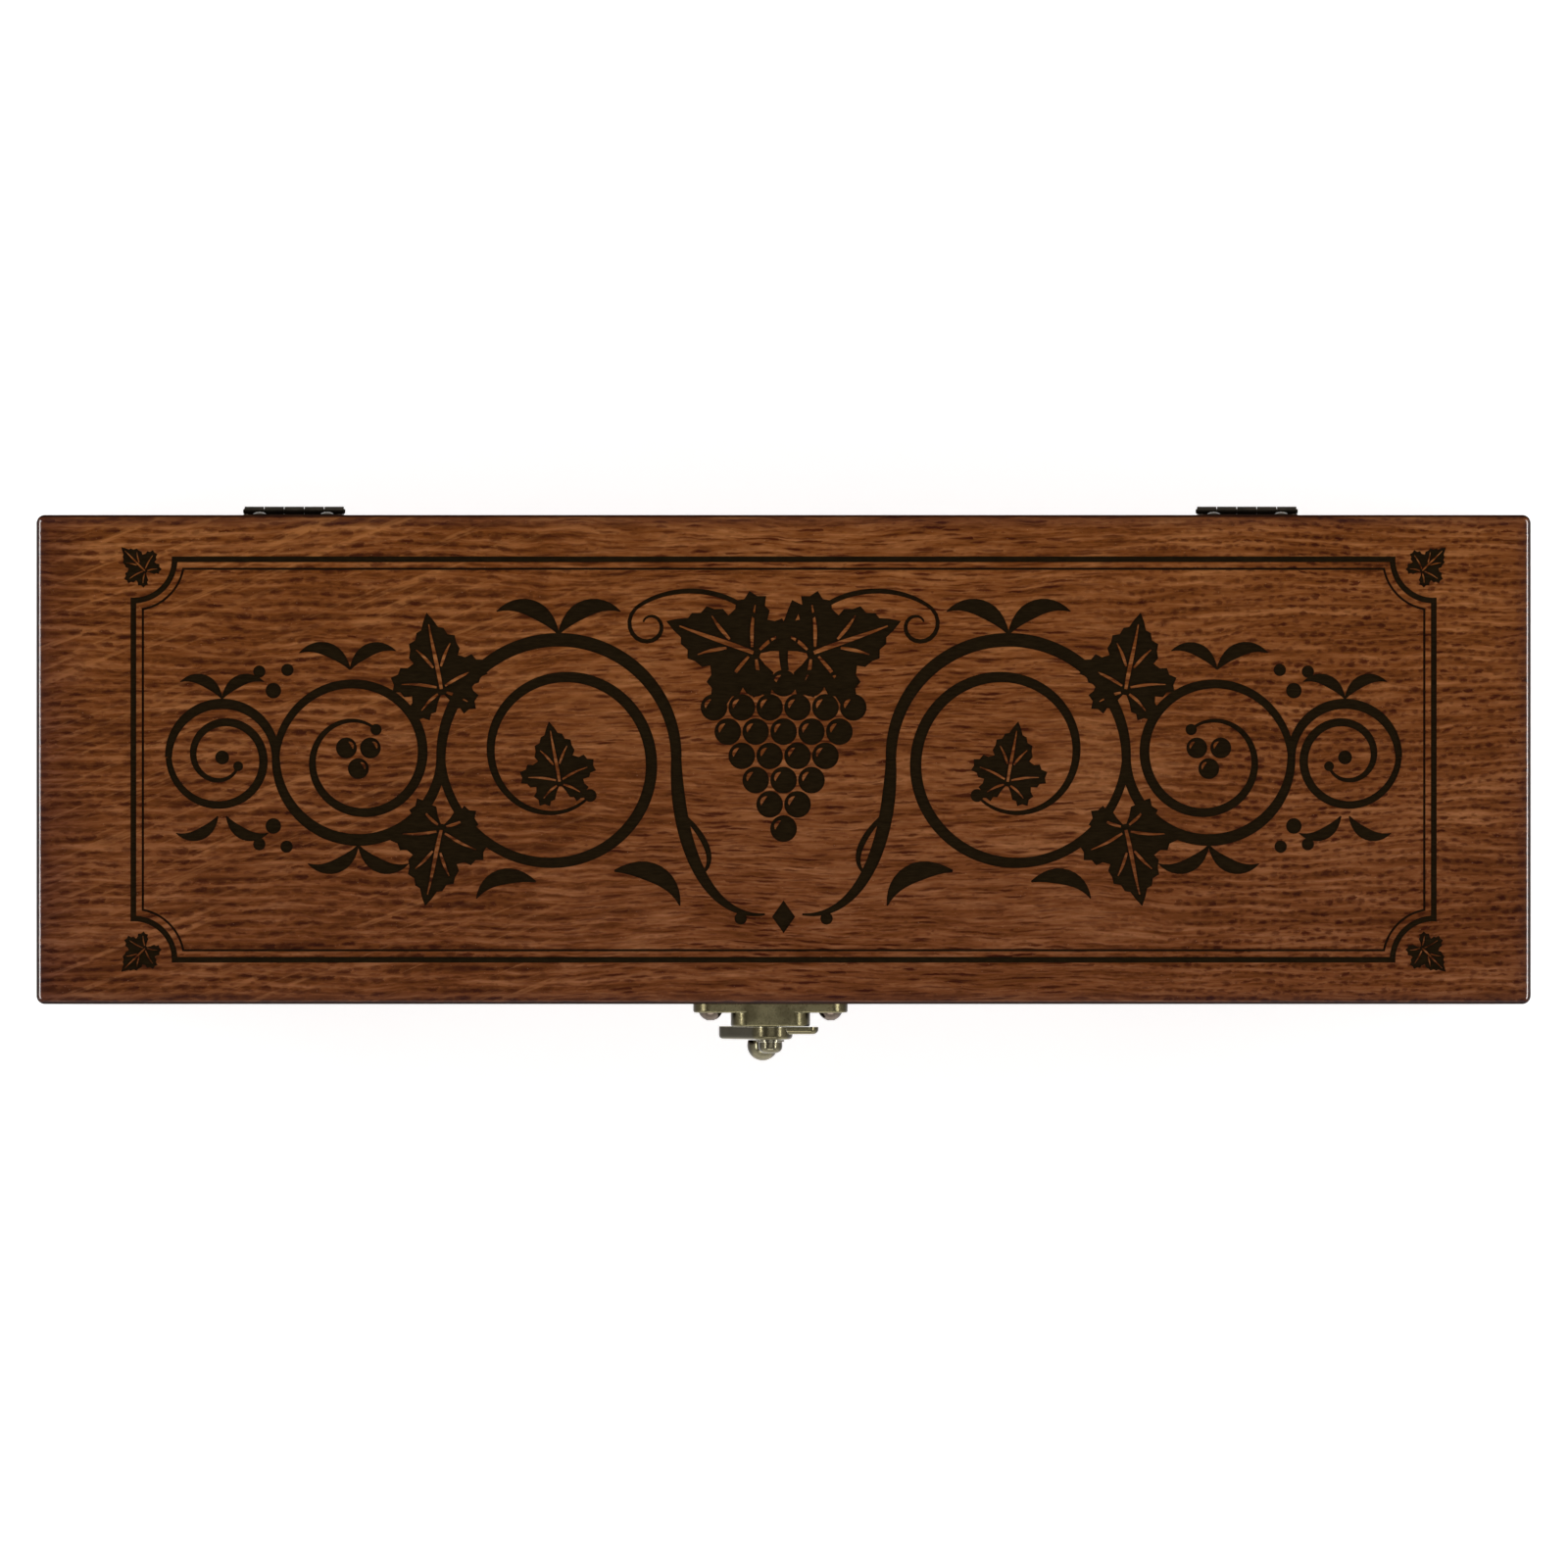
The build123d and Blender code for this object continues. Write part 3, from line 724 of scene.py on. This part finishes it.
nodeFinish = {"base_bottom_board": rawBottom}
for half, board in (("base", "board"), ("lid", "rail")):
    for side, run in (("front", "Long"), ("back", "Long"), ("left", "End"), ("right", "End")):
        nodeFinish[f"{half}_{side}_{board}"] = veneer[f"{half}{run}Veneer"]
for side in ("left", "right"):
    for part in ("base_leaf", "lid_leaf", "pin"):
        nodeFinish[f"hinge_{side}_{part}"] = metal["darkBronze"]
for part in ("latch_plate", "keeper_plate"):
    nodeFinish[part] = metal["antiqueBrass"]
for part in ("latch_washer", "latch_pivot", "keeper_stud"):
    nodeFinish[part] = metal["polishedBrass"]
nodeFinish["latch_hook"] = metal["hookBrass"]
for nodeName, finish in nodeFinish.items():
    for place in nodes[nodeName].material_slots:
        place.material = finish
print("CAD nodes finished:", len(nodeFinish))


# the engraved ornament: vine scrolls, leaves and grapes inside a notched border, cut into the lid's top

engraving = {
    "depth": 0.35,        # into the wood
    "above": 0.6,         # how far the cutters stand out of it
    "step": 1.1,          # spacing of points along a curved line
    "smooth": 30,
    "borderHalf": (157.5, 48.5), "borderNotch": 10.0, "borderRule": 1.4,
    "hairlineInset": 2.3, "hairlineRule": 0.55, "cornerLeaf": 9.0, "cornerInset": 3.4,
    "centreY": 0.5, "stemThick": 3.3, "curlThin": 0.6,
    "grapeRadius": 3.25, "grapeSpacing": 6.75, "rowShare": 0.87, "bunchTop": 18.0,
    "grapeRows": (5, 6, 5, 4, 3, 2, 1),
}

# the right half's scrolls: centre along x, radius, stem over (1) or under (-1), turns inwards, size of the heart;
# their buds: shift along x, over (1) or under (-1), gap, size, turn in degrees, bend;
# their berries: shift from the scroll's right side, height, radius
scrolls = [
    {"x": 54.5, "radius": 28.5, "way": 1, "turns": 1.36, "heart": 0.42, "berries": [], "buds": [
        (0, 1, 1.4, 16, 20, 0.3), (0, 1, 1.4, 16, 160, -0.3),
        (-13.5, -1, -1.0, 18, 208, -0.3), (5.5, -1, 1.6, 15, -16, 0.3),
    ]},
    {"x": 103.0, "radius": 20.0, "way": -1, "turns": 1.34, "heart": 0.40, "buds": [
        (0, -1, 1.3, 13, -20, -0.3), (0, -1, 1.3, 13, 200, 0.3),
        (2, 1, 1.3, 13, 18, 0.3), (2, 1, 1.3, 12, 158, -0.3),
    ], "berries": [
        (0.6, 16.2, 1.9), (-2.8, 21.2, 1.5), (4.0, 20.8, 1.5),
        (0.6, -16.6, 1.9), (-2.6, -21.6, 1.5), (4.0, -21.0, 1.5),
    ]},
    {"x": 136.0, "radius": 13.0, "way": 1, "turns": 1.42, "heart": 0.34, "berries": [], "buds": [
        (0, 1, 1.2, 11, 22, 0.3), (0, 1, 1.2, 11, 158, -0.3),
        (-1, -1, 1.2, 11, -158, 0.3), (1, -1, 1.2, 11, -22, -0.3),
    ]},
]

# half of a vine leaf of length 1, from its stalk to its tip, and its side veins
leafHalf = [
    (0.03, 0.02), (-0.05, 0.07), (-0.15, 0.11), (-0.16, 0.17), (-0.23, 0.20), (-0.19, 0.27), (-0.20, 0.35),
    (-0.11, 0.35), (-0.05, 0.41), (0.01, 0.36), (0.08, 0.35), (0.09, 0.44), (0.15, 0.47), (0.17, 0.56),
    (0.25, 0.53), (0.34, 0.55), (0.36, 0.46), (0.43, 0.42), (0.41, 0.34), (0.45, 0.26), (0.52, 0.30),
    (0.60, 0.27), (0.68, 0.27), (0.71, 0.19), (0.79, 0.16), (0.81, 0.10), (0.90, 0.06), (1.0, 0.0),
]
leafVeins = [((0.13, 0.05), (0.24, 0.44)), ((0.36, 0.045), (0.60, 0.20)), ((0.05, 0.05), (-0.10, 0.27))]


def arcLine(cx, cy, radius, start, end, endRadius=None):
    # points along an arc or a spiral, angles in degrees
    endRadius = radius if endRadius is None else endRadius
    length = abs(math.radians(end - start)) * (radius + endRadius) / 2
    count = max(8, int(length / engraving["step"]))
    points = []
    for i in range(count + 1):
        t = i / count
        angle, r = math.radians(start + (end - start) * t), radius + (endRadius - radius) * t
        points.append((cx + r * math.cos(angle), cy + r * math.sin(angle)))
    return points


def bentLine(a, b, c, d, count):
    # a cubic through a and d, pulled towards b and c
    points = []
    for i in range(count + 1):
        t, s = i / count, 1 - i / count
        shares = (s ** 3, 3 * s * s * t, 3 * s * t * t, t ** 3)
        points.append(tuple(sum(share * p[k] for share, p in zip(shares, (a, b, c, d))) for k in (0, 1)))
    return points


def brushed(line, thin, thick, peak, ending):
    # the outline of a stroke that swells from thin to thick and back, as a pen would draw it
    left, right = [], []
    last = len(line) - 1
    for i, (x, y) in enumerate(line):
        ax, ay = line[max(i - 1, 0)]
        bx, by = line[min(i + 1, last)]
        size = math.hypot(bx - ax, by - ay) or 1.0
        nx, ny = -(by - ay) / size, (bx - ax) / size
        t = i / last
        if t < peak:
            width = thin + (thick - thin) * math.sin(math.pi / 2 * t / peak)
        else:
            width = ending + (thick - ending) * math.cos(math.pi / 2 * (t - peak) / (1 - peak))
        left.append((x + nx * width / 2, y + ny * width / 2))
        right.append((x - nx * width / 2, y - ny * width / 2))
    return left + right[::-1]


def disc(cx, cy, radius, count=28):
    angles = [2 * math.pi * i / count for i in range(count)]
    return [(cx + radius * math.cos(angle), cy + radius * math.sin(angle)) for angle in angles]


def placed(outline, cx, cy, size, degrees):
    cosine, sine = math.cos(math.radians(degrees)), math.sin(math.radians(degrees))
    return [(cx + size * (x * cosine - y * sine), cy + size * (x * sine + y * cosine)) for x, y in outline]


def vineLeaf(cx, cy, size, degrees):
    # a solid leaf with its veins left standing
    outline = leafHalf + [(x, -y) for x, y in leafHalf[-2::-1]]
    midrib = bentLine((0.10, 0), (0.35, 0.01), (0.6, -0.01), (0.86, 0), 8)
    shapes = [outline, brushed(midrib, 0.035, 0.045, 0.3, 0.012)]
    for side in (1, -1):
        for a, b in leafVeins:
            middle = ((a[0] + b[0]) / 2 + 0.02, (a[1] + b[1]) / 2)
            vein = [(x, y * side) for x, y in bentLine(a, middle, middle, b, 6)]
            shapes.append(brushed(vein, 0.022, 0.034, 0.25, 0.010))
    return [placed(shape, cx, cy, size, degrees) for shape in shapes]


def grape(cx, cy, radius):
    # a dark berry with a crescent of light left on its upper left
    glint = brushed(arcLine(cx, cy, radius * 0.62, 110, 185), 0.12, radius * 0.26, 0.5, 0.12)
    return [disc(cx, cy, radius), glint]


def budLeaf(cx, cy, size, degrees, bend):
    # a slim leaf drawn with one swelling stroke
    line = bentLine((0, 0), (0.35, bend), (0.75, bend), (1, 0), 12)
    return [placed(brushed(line, 0.03, 0.26, 0.42, 0.015), cx, cy, size, degrees)]


def notchedBorder(grow, rule):
    # a ring of even width whose corners are cut in by quarter circles about fixed centres
    halfX, halfY = engraving["borderHalf"]

    def edge(offset):
        radius = engraving["borderNotch"] - offset
        lean = math.degrees(math.asin(offset / radius))
        points = []
        for sx, sy, start in ((1, 1, 270), (-1, 1, 0), (-1, -1, 90), (1, -1, 180)):
            points += arcLine(sx * halfX, sy * halfY, radius, start + lean, start - 90 - lean)
        return points

    return [edge(grow + rule / 2), edge(grow - rule / 2)]


def layHalf():
    # the right half, about the ornament's middle: a stem that runs over and under its scrolls
    half = []

    def stroke(line, *widths):
        half.append([brushed(line, *widths)])

    one, two, three = scrolls
    start, gap = one["x"] - one["radius"], one["x"] + one["radius"]
    stemThick = engraving["stemThick"]
    stroke(bentLine((4.5, -38), (18, -39.5), (start, -22), (start, 0), 40), 0.5, stemThick, 0.8, 2.5)
    for scroll in scrolls:
        x, r, way = scroll["x"], scroll["radius"], scroll["way"]
        thick = stemThick * (0.55 + r / 62)
        stroke(arcLine(x, 0, r, 180, 0 if way > 0 else 360), thick * 0.78, thick, 0.5, thick * 0.68)
        curl = arcLine(x, 0, r, 0, -way * 360 * scroll["turns"], r * scroll["heart"])
        stroke(curl, thick * 0.6, thick * 0.84, 0.35, engraving["curlThin"])
        half.append([disc(*curl[-1], 0.9 + r / 42)])
    half.append(vineLeaf(one["x"] - 0.5, -7.5, 16.5, 80))
    for dx, dy in ((-2.9, 2.3), (2.9, 2.3), (0, -2.7)):
        half.append(grape(two["x"] + dx, dy, 2.55))
    half.append([disc(three["x"], 0, 1.7)])

    # leaves and berries in the gaps round the scrolls
    half += [vineLeaf(gap - 0.5, 14.5, 21, 79), vineLeaf(gap - 0.5, -15.5, 21, -78)]
    for scroll in scrolls:
        x, r = scroll["x"], scroll["radius"]
        for dx, side, space, size, degrees, bend in scroll["buds"]:
            half.append(budLeaf(x + dx, side * (r + space), size, degrees, bend))
        for dx, dy, berry in scroll["berries"]:
            half.append([disc(x + r + dx, dy, berry)])

    # leaves and tendrils over the bunch
    half.append(vineLeaf(5.0, 24.5, 25, 20))
    stroke(bentLine((2.5, 26), (6, 41), (26, 44), (36, 36), 26), 0.5, 1.3, 0.5, 0.9)
    stroke(arcLine(32.6, 32.0, 5.2, 50, -330, 1.6), 0.9, 1.1, 0.3, 0.45)
    stroke(bentLine((start + 0.4, -12), (20.5, -17), (15.5, -24), (19.5, -28), 16), 0.5, 1.5, 0.5, 0.6)
    half.append([disc(10.4, -39.0, 1.5)])
    return half


def layBunch():
    # the bunch of grapes, its stalk and the drop under it
    spacing = engraving["grapeSpacing"]
    bunch = []
    for row, count in enumerate(engraving["grapeRows"]):
        y = engraving["bunchTop"] - row * (spacing * engraving["rowShare"])
        bunch += [grape((k - (count - 1) / 2) * spacing, y, engraving["grapeRadius"]) for k in range(count)]
    stalk = bentLine((0.4, 21), (-0.8, 27), (0.6, 32), (3.4, 37.5), 14)
    bunch.append([brushed(stalk, 1.8, 2.4, 0.5, 3.0)])
    bunch.append([[(0, -34.6), (2.8, -38.6), (0, -42.6), (-2.8, -38.6)]])
    return bunch


def layOrnament():
    # every item is one filled shape: an outline and the islands left inside it
    e = engraving
    shapes = [notchedBorder(0, e["borderRule"]), notchedBorder(-e["hairlineInset"], e["hairlineRule"])]
    leafX, leafY = [half - e["cornerInset"] for half in e["borderHalf"]]
    for sx in (1, -1):
        for sy in (1, -1):
            turn = math.degrees(math.atan2(sy, sx))
            shapes.append(vineLeaf(sx * leafX, sy * leafY, e["cornerLeaf"], turn))
    half = layHalf()
    otherHalf = [[[(-x, y) for x, y in outline] for outline in shape] for shape in half]
    for shape in half + otherHalf + layBunch():
        shapes.append([[(x, y + e["centreY"]) for x, y in outline] for outline in shape])
    return shapes


def cutterOf(name, outlines):
    # one filled shape as a closed block that reaches from above the lid down to the engraving's floor
    depth, above = engraving["depth"], engraving["above"]
    curve = bpy.data.curves.new(name, "CURVE")
    curve.dimensions, curve.fill_mode = "2D", "BOTH"
    curve.extrude = (depth + above) / 2 * mm
    for outline in outlines:
        spline = curve.splines.new("POLY")
        spline.points.add(len(outline) - 1)
        spline.use_cyclic_u = True
        for point, (x, y) in zip(spline.points, outline):
            point.co = (x * mm, y * mm, 0, 1)
    block = bpy.data.objects.new(name, curve)
    bpy.context.collection.objects.link(block)
    block.location.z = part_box("lid_top_panel")[1].z + (above - depth) / 2 * mm
    return block


def makeEngravedLid():
    lidTop = mergedCopy("lid_top_panel", "engravedLidTop")
    blocks = [cutterOf(f"cut{i}", outlines) for i, outlines in enumerate(layOrnament())]
    pickOnly(blocks[0])
    for block in blocks:
        block.select_set(True)
    bpy.ops.object.convert(target="MESH")
    bpy.ops.object.join()
    cutter = bpy.context.object
    pickOnly(cutter)
    editAll()
    bpy.ops.mesh.remove_doubles(threshold=mergeGap["cutter"] * mm)
    bpy.ops.mesh.normals_make_consistent(inside=False)
    leaveEdit()
    keepPlace()
    giveFinish(cutter, burntEngraving)
    giveFinish(lidTop, veneer["panelVeneer"])
    setAll(cutBy(lidTop, cutter), use_self=True, material_mode="TRANSFER")
    applyAll(lidTop)
    bpy.data.objects.remove(cutter)
    smoothByAngle(lidTop, engraving["smooth"])
    sharpenFlats(lidTop)
    settle(lidTop, None, "lid", "lid_top_panel")
    print("lid engraved:", len(blocks), "shapes,", len(lidTop.data.polygons), "faces")
    return lidTop


engravedLid = makeEngravedLid()


# linings: velvet over card, rounded at the edges and a little raised inside them

lining = {
    "edge": 0.55, "edgeSteps": 3, "border": 2.6, "rise": 0.3, "cuts": 9, "waves": 0.12, "smooth": 60, "fill": 0.9,
    "hair": 1e-6,     # metres by which two corners may miss each other and still lie in one plane
}
liningWays = {"front": (0, 1, 0), "back": (0, -1, 0), "left": (1, 0, 0), "right": (-1, 0, 0)}


def innermost(piece, way):
    # the corners that lie in the plane furthest this way
    reach = max(corner.co @ way for corner in piece.data.vertices) - lining["hair"]
    return [corner for corner in piece.data.vertices if corner.co @ way > reach]


def makeLining(half, side):
    nodeName = f"{half}_{side}_lining"
    way, rise = Vector(liningWays[side]), lining["rise"] * mm
    piece = blockOf(nodeName, f"{half}{side.capitalize()}Lining")
    for corner in innermost(piece, way):
        corner.co -= way * rise
    pickOnly(piece)
    editAll()
    bpy.ops.mesh.bevel(offset=lining["edge"] * mm, segments=lining["edgeSteps"])
    leaveEdit()
    editPicked(piece, "FACE", lambda face: face.normal @ way > facing["square"] and face.area > largeArea)
    bpy.ops.mesh.inset(thickness=lining["border"] * mm, depth=rise)
    bpy.ops.mesh.subdivide(number_cuts=lining["cuts"])
    leaveEdit()
    for corner in innermost(piece, way):      # the cloth lies a little uneven on its card
        x, y, z = corner.co * 1000
        wave = math.sin(x * 0.11 + z * 0.19) + math.sin(y * 0.17 - z * 0.13 + 1.3)
        corner.co -= way * (lining["waves"] * (1 + wave / 2) / 2 * mm)
    smoothByAngle(piece, lining["smooth"])
    settle(piece, cloth["blackVelvet"], half, nodeName)


for half in ("base", "lid"):
    for side in liningWays:
        makeLining(half, side)
    print(half, "linings made")


# pads and rests: foam under velvet; all but the flat floor pad are blown out by a short cloth simulation

pads = tabled(("piece", "body", "shrink", "voxel", "pressure", "cap", "fill"), {
    "lid_pad": ("lidPad", "lid", (-1.2, -1.2, 0.4), 2.6, 3.0, 0.9, 0.6),
    "floor_pad": ("floorPad", "base", (0.5, 0.5, 0.25), 0, 0, 0, 0.5),
    "body_rest": ("bodyRest", "base", (1.0, 1.2, 0.8), 3.4, 4.0, 1.5, 0.8),
    "neck_rest": ("neckRest", "base", (1.0, 1.2, 0.8), 3.0, 4.0, 1.3, 0.8),
})
foam = {
    "quality": 6, "mass": 0.3, "tension_stiffness": 15, "compression_stiffness": 15, "bending_stiffness": 2.0,
    "use_pressure": True,
}
foamSteps = 15
flatPad = {"edge": 1.2, "edgeSteps": 4, "cuts": 24, "pull": 12}


def drawIn(piece, shrink):
    # the shape is made smaller on all sides before it swells
    low, high = [Vector(map(f, zip(*(corner.co for corner in piece.data.vertices)))) for f in (min, max)]
    middle, half = (low + high) / 2, (high - low) / 2
    for corner in piece.data.vertices:
        for k in range(3):
            corner.co[k] = middle[k] + (corner.co[k] - middle[k]) * (1 - shrink[k] * mm / half[k])


def blowUp(piece, pressure, cap):
    swell = piece.modifiers.new("foam", "CLOTH")
    setAll(swell.settings, **foam, uniform_pressure_force=pressure)
    swell.settings.effector_weights.gravity = 0
    swell.collision_settings.use_collision = False
    start = [corner.co.copy() for corner in piece.data.vertices]
    for step in range(foamSteps):
        bpy.context.scene.frame_set(step + 1)
    applyAll(piece)
    bpy.context.scene.frame_set(1)
    for corner, before in zip(piece.data.vertices, start):
        move = corner.co - before
        if move.length > cap * mm:
            corner.co = before + move.normalized() * cap * mm


def swollenPad(nodeName, pad):
    piece = mergedCopy(nodeName, pad["piece"])
    drawIn(piece, pad["shrink"])
    setAll(piece.modifiers.new("even", "REMESH"), mode="VOXEL", voxel_size=pad["voxel"] * mm)
    setAll(piece.modifiers.new("soften", "SMOOTH"), factor=0.5, iterations=3)
    applyAll(piece)
    blowUp(piece, pad["pressure"], pad["cap"])
    return piece


def slackPad(nodeName, pad, low, high):
    # a rounded block with a slack crown, and sides that pull in between the corners
    piece = blockOf(nodeName, pad["piece"])
    editAll()
    bpy.ops.mesh.bevel(offset=flatPad["edge"] * mm, segments=flatPad["edgeSteps"])
    leaveEdit()
    editPicked(piece, "FACE", lambda face: face.normal.z > facing["square"] and face.area > largeArea)
    bpy.ops.mesh.subdivide(number_cuts=flatPad["cuts"])
    leaveEdit()
    middle, half, pull = (low + high) / 2, (high - low) / 2, flatPad["pull"]
    slackX, slackY, slackZ = [slack * mm for slack in pad["shrink"]]
    for corner in piece.data.vertices:
        a, b = [(corner.co[k] - middle[k]) / half[k] for k in (0, 1)]
        corner.co.x -= math.copysign(slackX * (1 - b * b) * abs(a) ** pull, a)
        corner.co.y -= math.copysign(slackY * (1 - a * a) * abs(b) ** pull, b)
        if corner.co.z > middle.z:
            corner.co.z -= slackZ * (1 - (1 - a * a) * (1 - b * b))
    return piece


def makePad(nodeName):
    pad = pads[nodeName]
    low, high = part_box(nodeName)
    piece = swollenPad(nodeName, pad) if pad["voxel"] else slackPad(nodeName, pad, low, high)
    for corner in piece.data.vertices:      # nothing leaves the space of its CAD solid
        for k in range(3):
            corner.co[k] = min(max(corner.co[k], low[k]), high[k])
    if pad["voxel"]:
        setAll(piece.modifiers.new("finer", "SUBSURF"), levels=1, render_levels=1)
        applyAll(piece)
    pickOnly(piece)
    bpy.ops.object.shade_smooth()
    settle(piece, cloth["blackVelvet"], pad["body"], nodeName)
    print(pad["piece"], "made:", len(piece.data.polygons), "faces")


for nodeName in pads:
    makePad(nodeName)


# felt under the box: one thin cut sheet

felt = {"thickness": 0.9, "corner": 4.0, "cornerSteps": 5, "rings": (1.5, 12), "cutEdge": 0.2, "smooth": 40}


def makeFelt():
    low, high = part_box("base_felt")
    wide, deep = high.x - low.x, high.y - low.y
    thickness = felt["thickness"] * mm
    sheet = addNew(bpy.ops.mesh.primitive_plane_add, size=1, location=(0, 0, high.z))
    sheet.name = sheet.data.name = "baseFelt"
    sheet.scale = (wide, deep, 1)
    keepPlace()
    editAll()
    bpy.ops.mesh.bevel(offset=felt["corner"] * mm, segments=felt["cornerSteps"], affect="VERTICES")
    for ring in felt["rings"]:
        bpy.ops.mesh.inset(thickness=ring * mm, depth=0)
    leaveEdit()
    setAll(sheet.modifiers.new("body", "SOLIDIFY"), thickness=thickness, offset=-1)
    setAll(sheet.modifiers.new("cutEdge", "BEVEL"), width=felt["cutEdge"] * mm, segments=2)
    applyAll(sheet)
    for corner in sheet.data.vertices:
        if corner.co.z < high.z - 0.5 * mm:     # the underside lies a little uneven
            x, y = corner.co.x / mm, corner.co.y / mm
            corner.co.z -= (high.z - thickness - low.z) * (0.5 + 0.5 * math.sin(x * 0.3 + y * 0.7))
    smoothByAngle(sheet, felt["smooth"])
    settle(sheet, cloth["blackFelt"], "base", "base_felt")


makeFelt()
print("pads, rests and felt made")


# screws: modelled once for each kind, with a domed head and a tapered cross recess, then copied and turned

screwKinds = tabled(("head", "rise", "shank", "finish", "slot", "way"), {
    "catch": (2.85, 2.0, 1.2, "screwMetal", "screw_metal", -1),
    # the hinge screws take a painted shade finish, a darker copy of the catch screws' metal
    "hinge": (1.7, 0.6, 0.8, "darkScrew", "dark_bronze", 1),
})
screwShape = {"segments": 48, "rings": 48, "point": 1.5, "tip": 0.2, "smooth": 35}
recess = {"reach": 0.62, "width": 0.3, "depth": 0.45, "taper": 0.7, "turn": 42, "next": 11, "side": 7}
screwSets = tabled(("piece", "body", "kind", "spacing"), {
    "latch_plate_screws": ("latchPlateScrews", "lid", "catch", [0]),
    "keeper_screws": ("keeperScrews", "base", "catch", [0]),
    "hinge_base_screws": ("hingeBaseScrews", "base", "hinge", [0, 16.4]),
    "hinge_lid_screws": ("hingeLidScrews", "lid", "hinge", [0, 16.4]),
})


def cutCross(screw, head, rise):
    bars = []
    for turn in (0, math.pi / 2):
        bar = addNew(bpy.ops.mesh.primitive_cube_add, size=1, location=(0, 0, rise), rotation=(0, 0, turn))
        bar.scale = (2 * recess["reach"] * head, recess["width"] * head, 2 * recess["depth"] * rise)
        keepPlace()
        editPicked(bar, "FACE", lambda face: face.normal.z < -facing["roughly"])
        bpy.ops.transform.resize(value=(recess["taper"], recess["taper"], 1), center_override=(0, 0, 0))
        leaveEdit()
        cutBy(screw, bar)
        bars.append(bar)
    applyAll(screw)
    for bar in bars:
        bpy.data.objects.remove(bar)


def makeScrew(kind, length):
    # stands on the XY plane: a dome cut from a ball, its foot drawn in and pulled down to a pointed shank
    head, rise, shank = kind["head"] * mm, kind["rise"] * mm, kind["shank"] * mm
    point, tip = screwShape["point"] * shank, screwShape["tip"]
    ball = (head**2 + rise**2) / (2 * rise)
    screw = addNew(
        bpy.ops.mesh.primitive_uv_sphere_add, segments=screwShape["segments"], ring_count=screwShape["rings"],
        radius=ball, location=(0, 0, rise - ball),
    )
    keepPlace()
    editAll()
    bpy.ops.mesh.bisect(
        plane_co=(0, 0, 0), plane_no=(0, 0, 1), clear_inner=True, use_fill=True, threshold=0.001 * mm
    )
    leaveEdit()
    editPicked(screw, "FACE", lambda face: face.normal.z < -facing["roughly"] and face.center.z < 0.01 * mm)
    bpy.ops.mesh.inset(thickness=head - shank)
    for drop in (length - point, point):
        bpy.ops.mesh.extrude_region_move(TRANSFORM_OT_translate={"value": (0, 0, -drop)})
    bpy.ops.transform.resize(value=(tip, tip, 1), center_override=(0, 0, -length))
    leaveEdit()
    cutCross(screw, head, rise)
    return screw


def makeScrews(nodeName):
    item = screwSets[nodeName]
    kind = screwKinds[item["kind"]]
    low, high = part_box(nodeName)
    head, rise, way = kind["head"] * mm, kind["rise"] * mm, kind["way"]
    seat = (high.y if way > 0 else low.y) - way * rise
    pattern = makeScrew(kind, high.y - low.y - rise)
    copies = []
    for side, edge in ((1, low.x + head), (-1, high.x - head)):
        for number, gap in enumerate(item["spacing"]):
            turn = math.radians(recess["turn"] + recess["next"] * number + recess["side"] * side)
            place = Matrix.Translation((edge + side * gap * mm, seat, (low.z + high.z) / 2))
            place = place @ Matrix.Rotation(-way * math.pi / 2, 4, "X") @ Matrix.Rotation(turn, 4, "Z")
            screw = pattern.copy()
            screw.data = pattern.data.copy()
            screw.data.transform(place)
            bpy.context.collection.objects.link(screw)
            copies.append(screw)
    bpy.data.objects.remove(pattern)
    screws = copies[0]
    pickOnly(screws)
    for screw in copies:
        screw.select_set(True)
    bpy.ops.object.join()
    screws.name = screws.data.name = item["piece"]
    smoothByAngle(screws, screwShape["smooth"])
    settle(screws, metal[kind["finish"]], item["body"], nodeName)
    return screws


screwPieces = [makeScrews(nodeName) for nodeName in screwSets]
print("screws made:", len(screwPieces), "sets")

plated = metal.values()
lightGloss({
    "lacquered": [engravedLid] + [nodes[name] for name in nodeFinish if name.endswith(("rail", "board"))],
    "plated": screwPieces + [nodes[name] for name, finish in nodeFinish.items() if finish in plated],
})
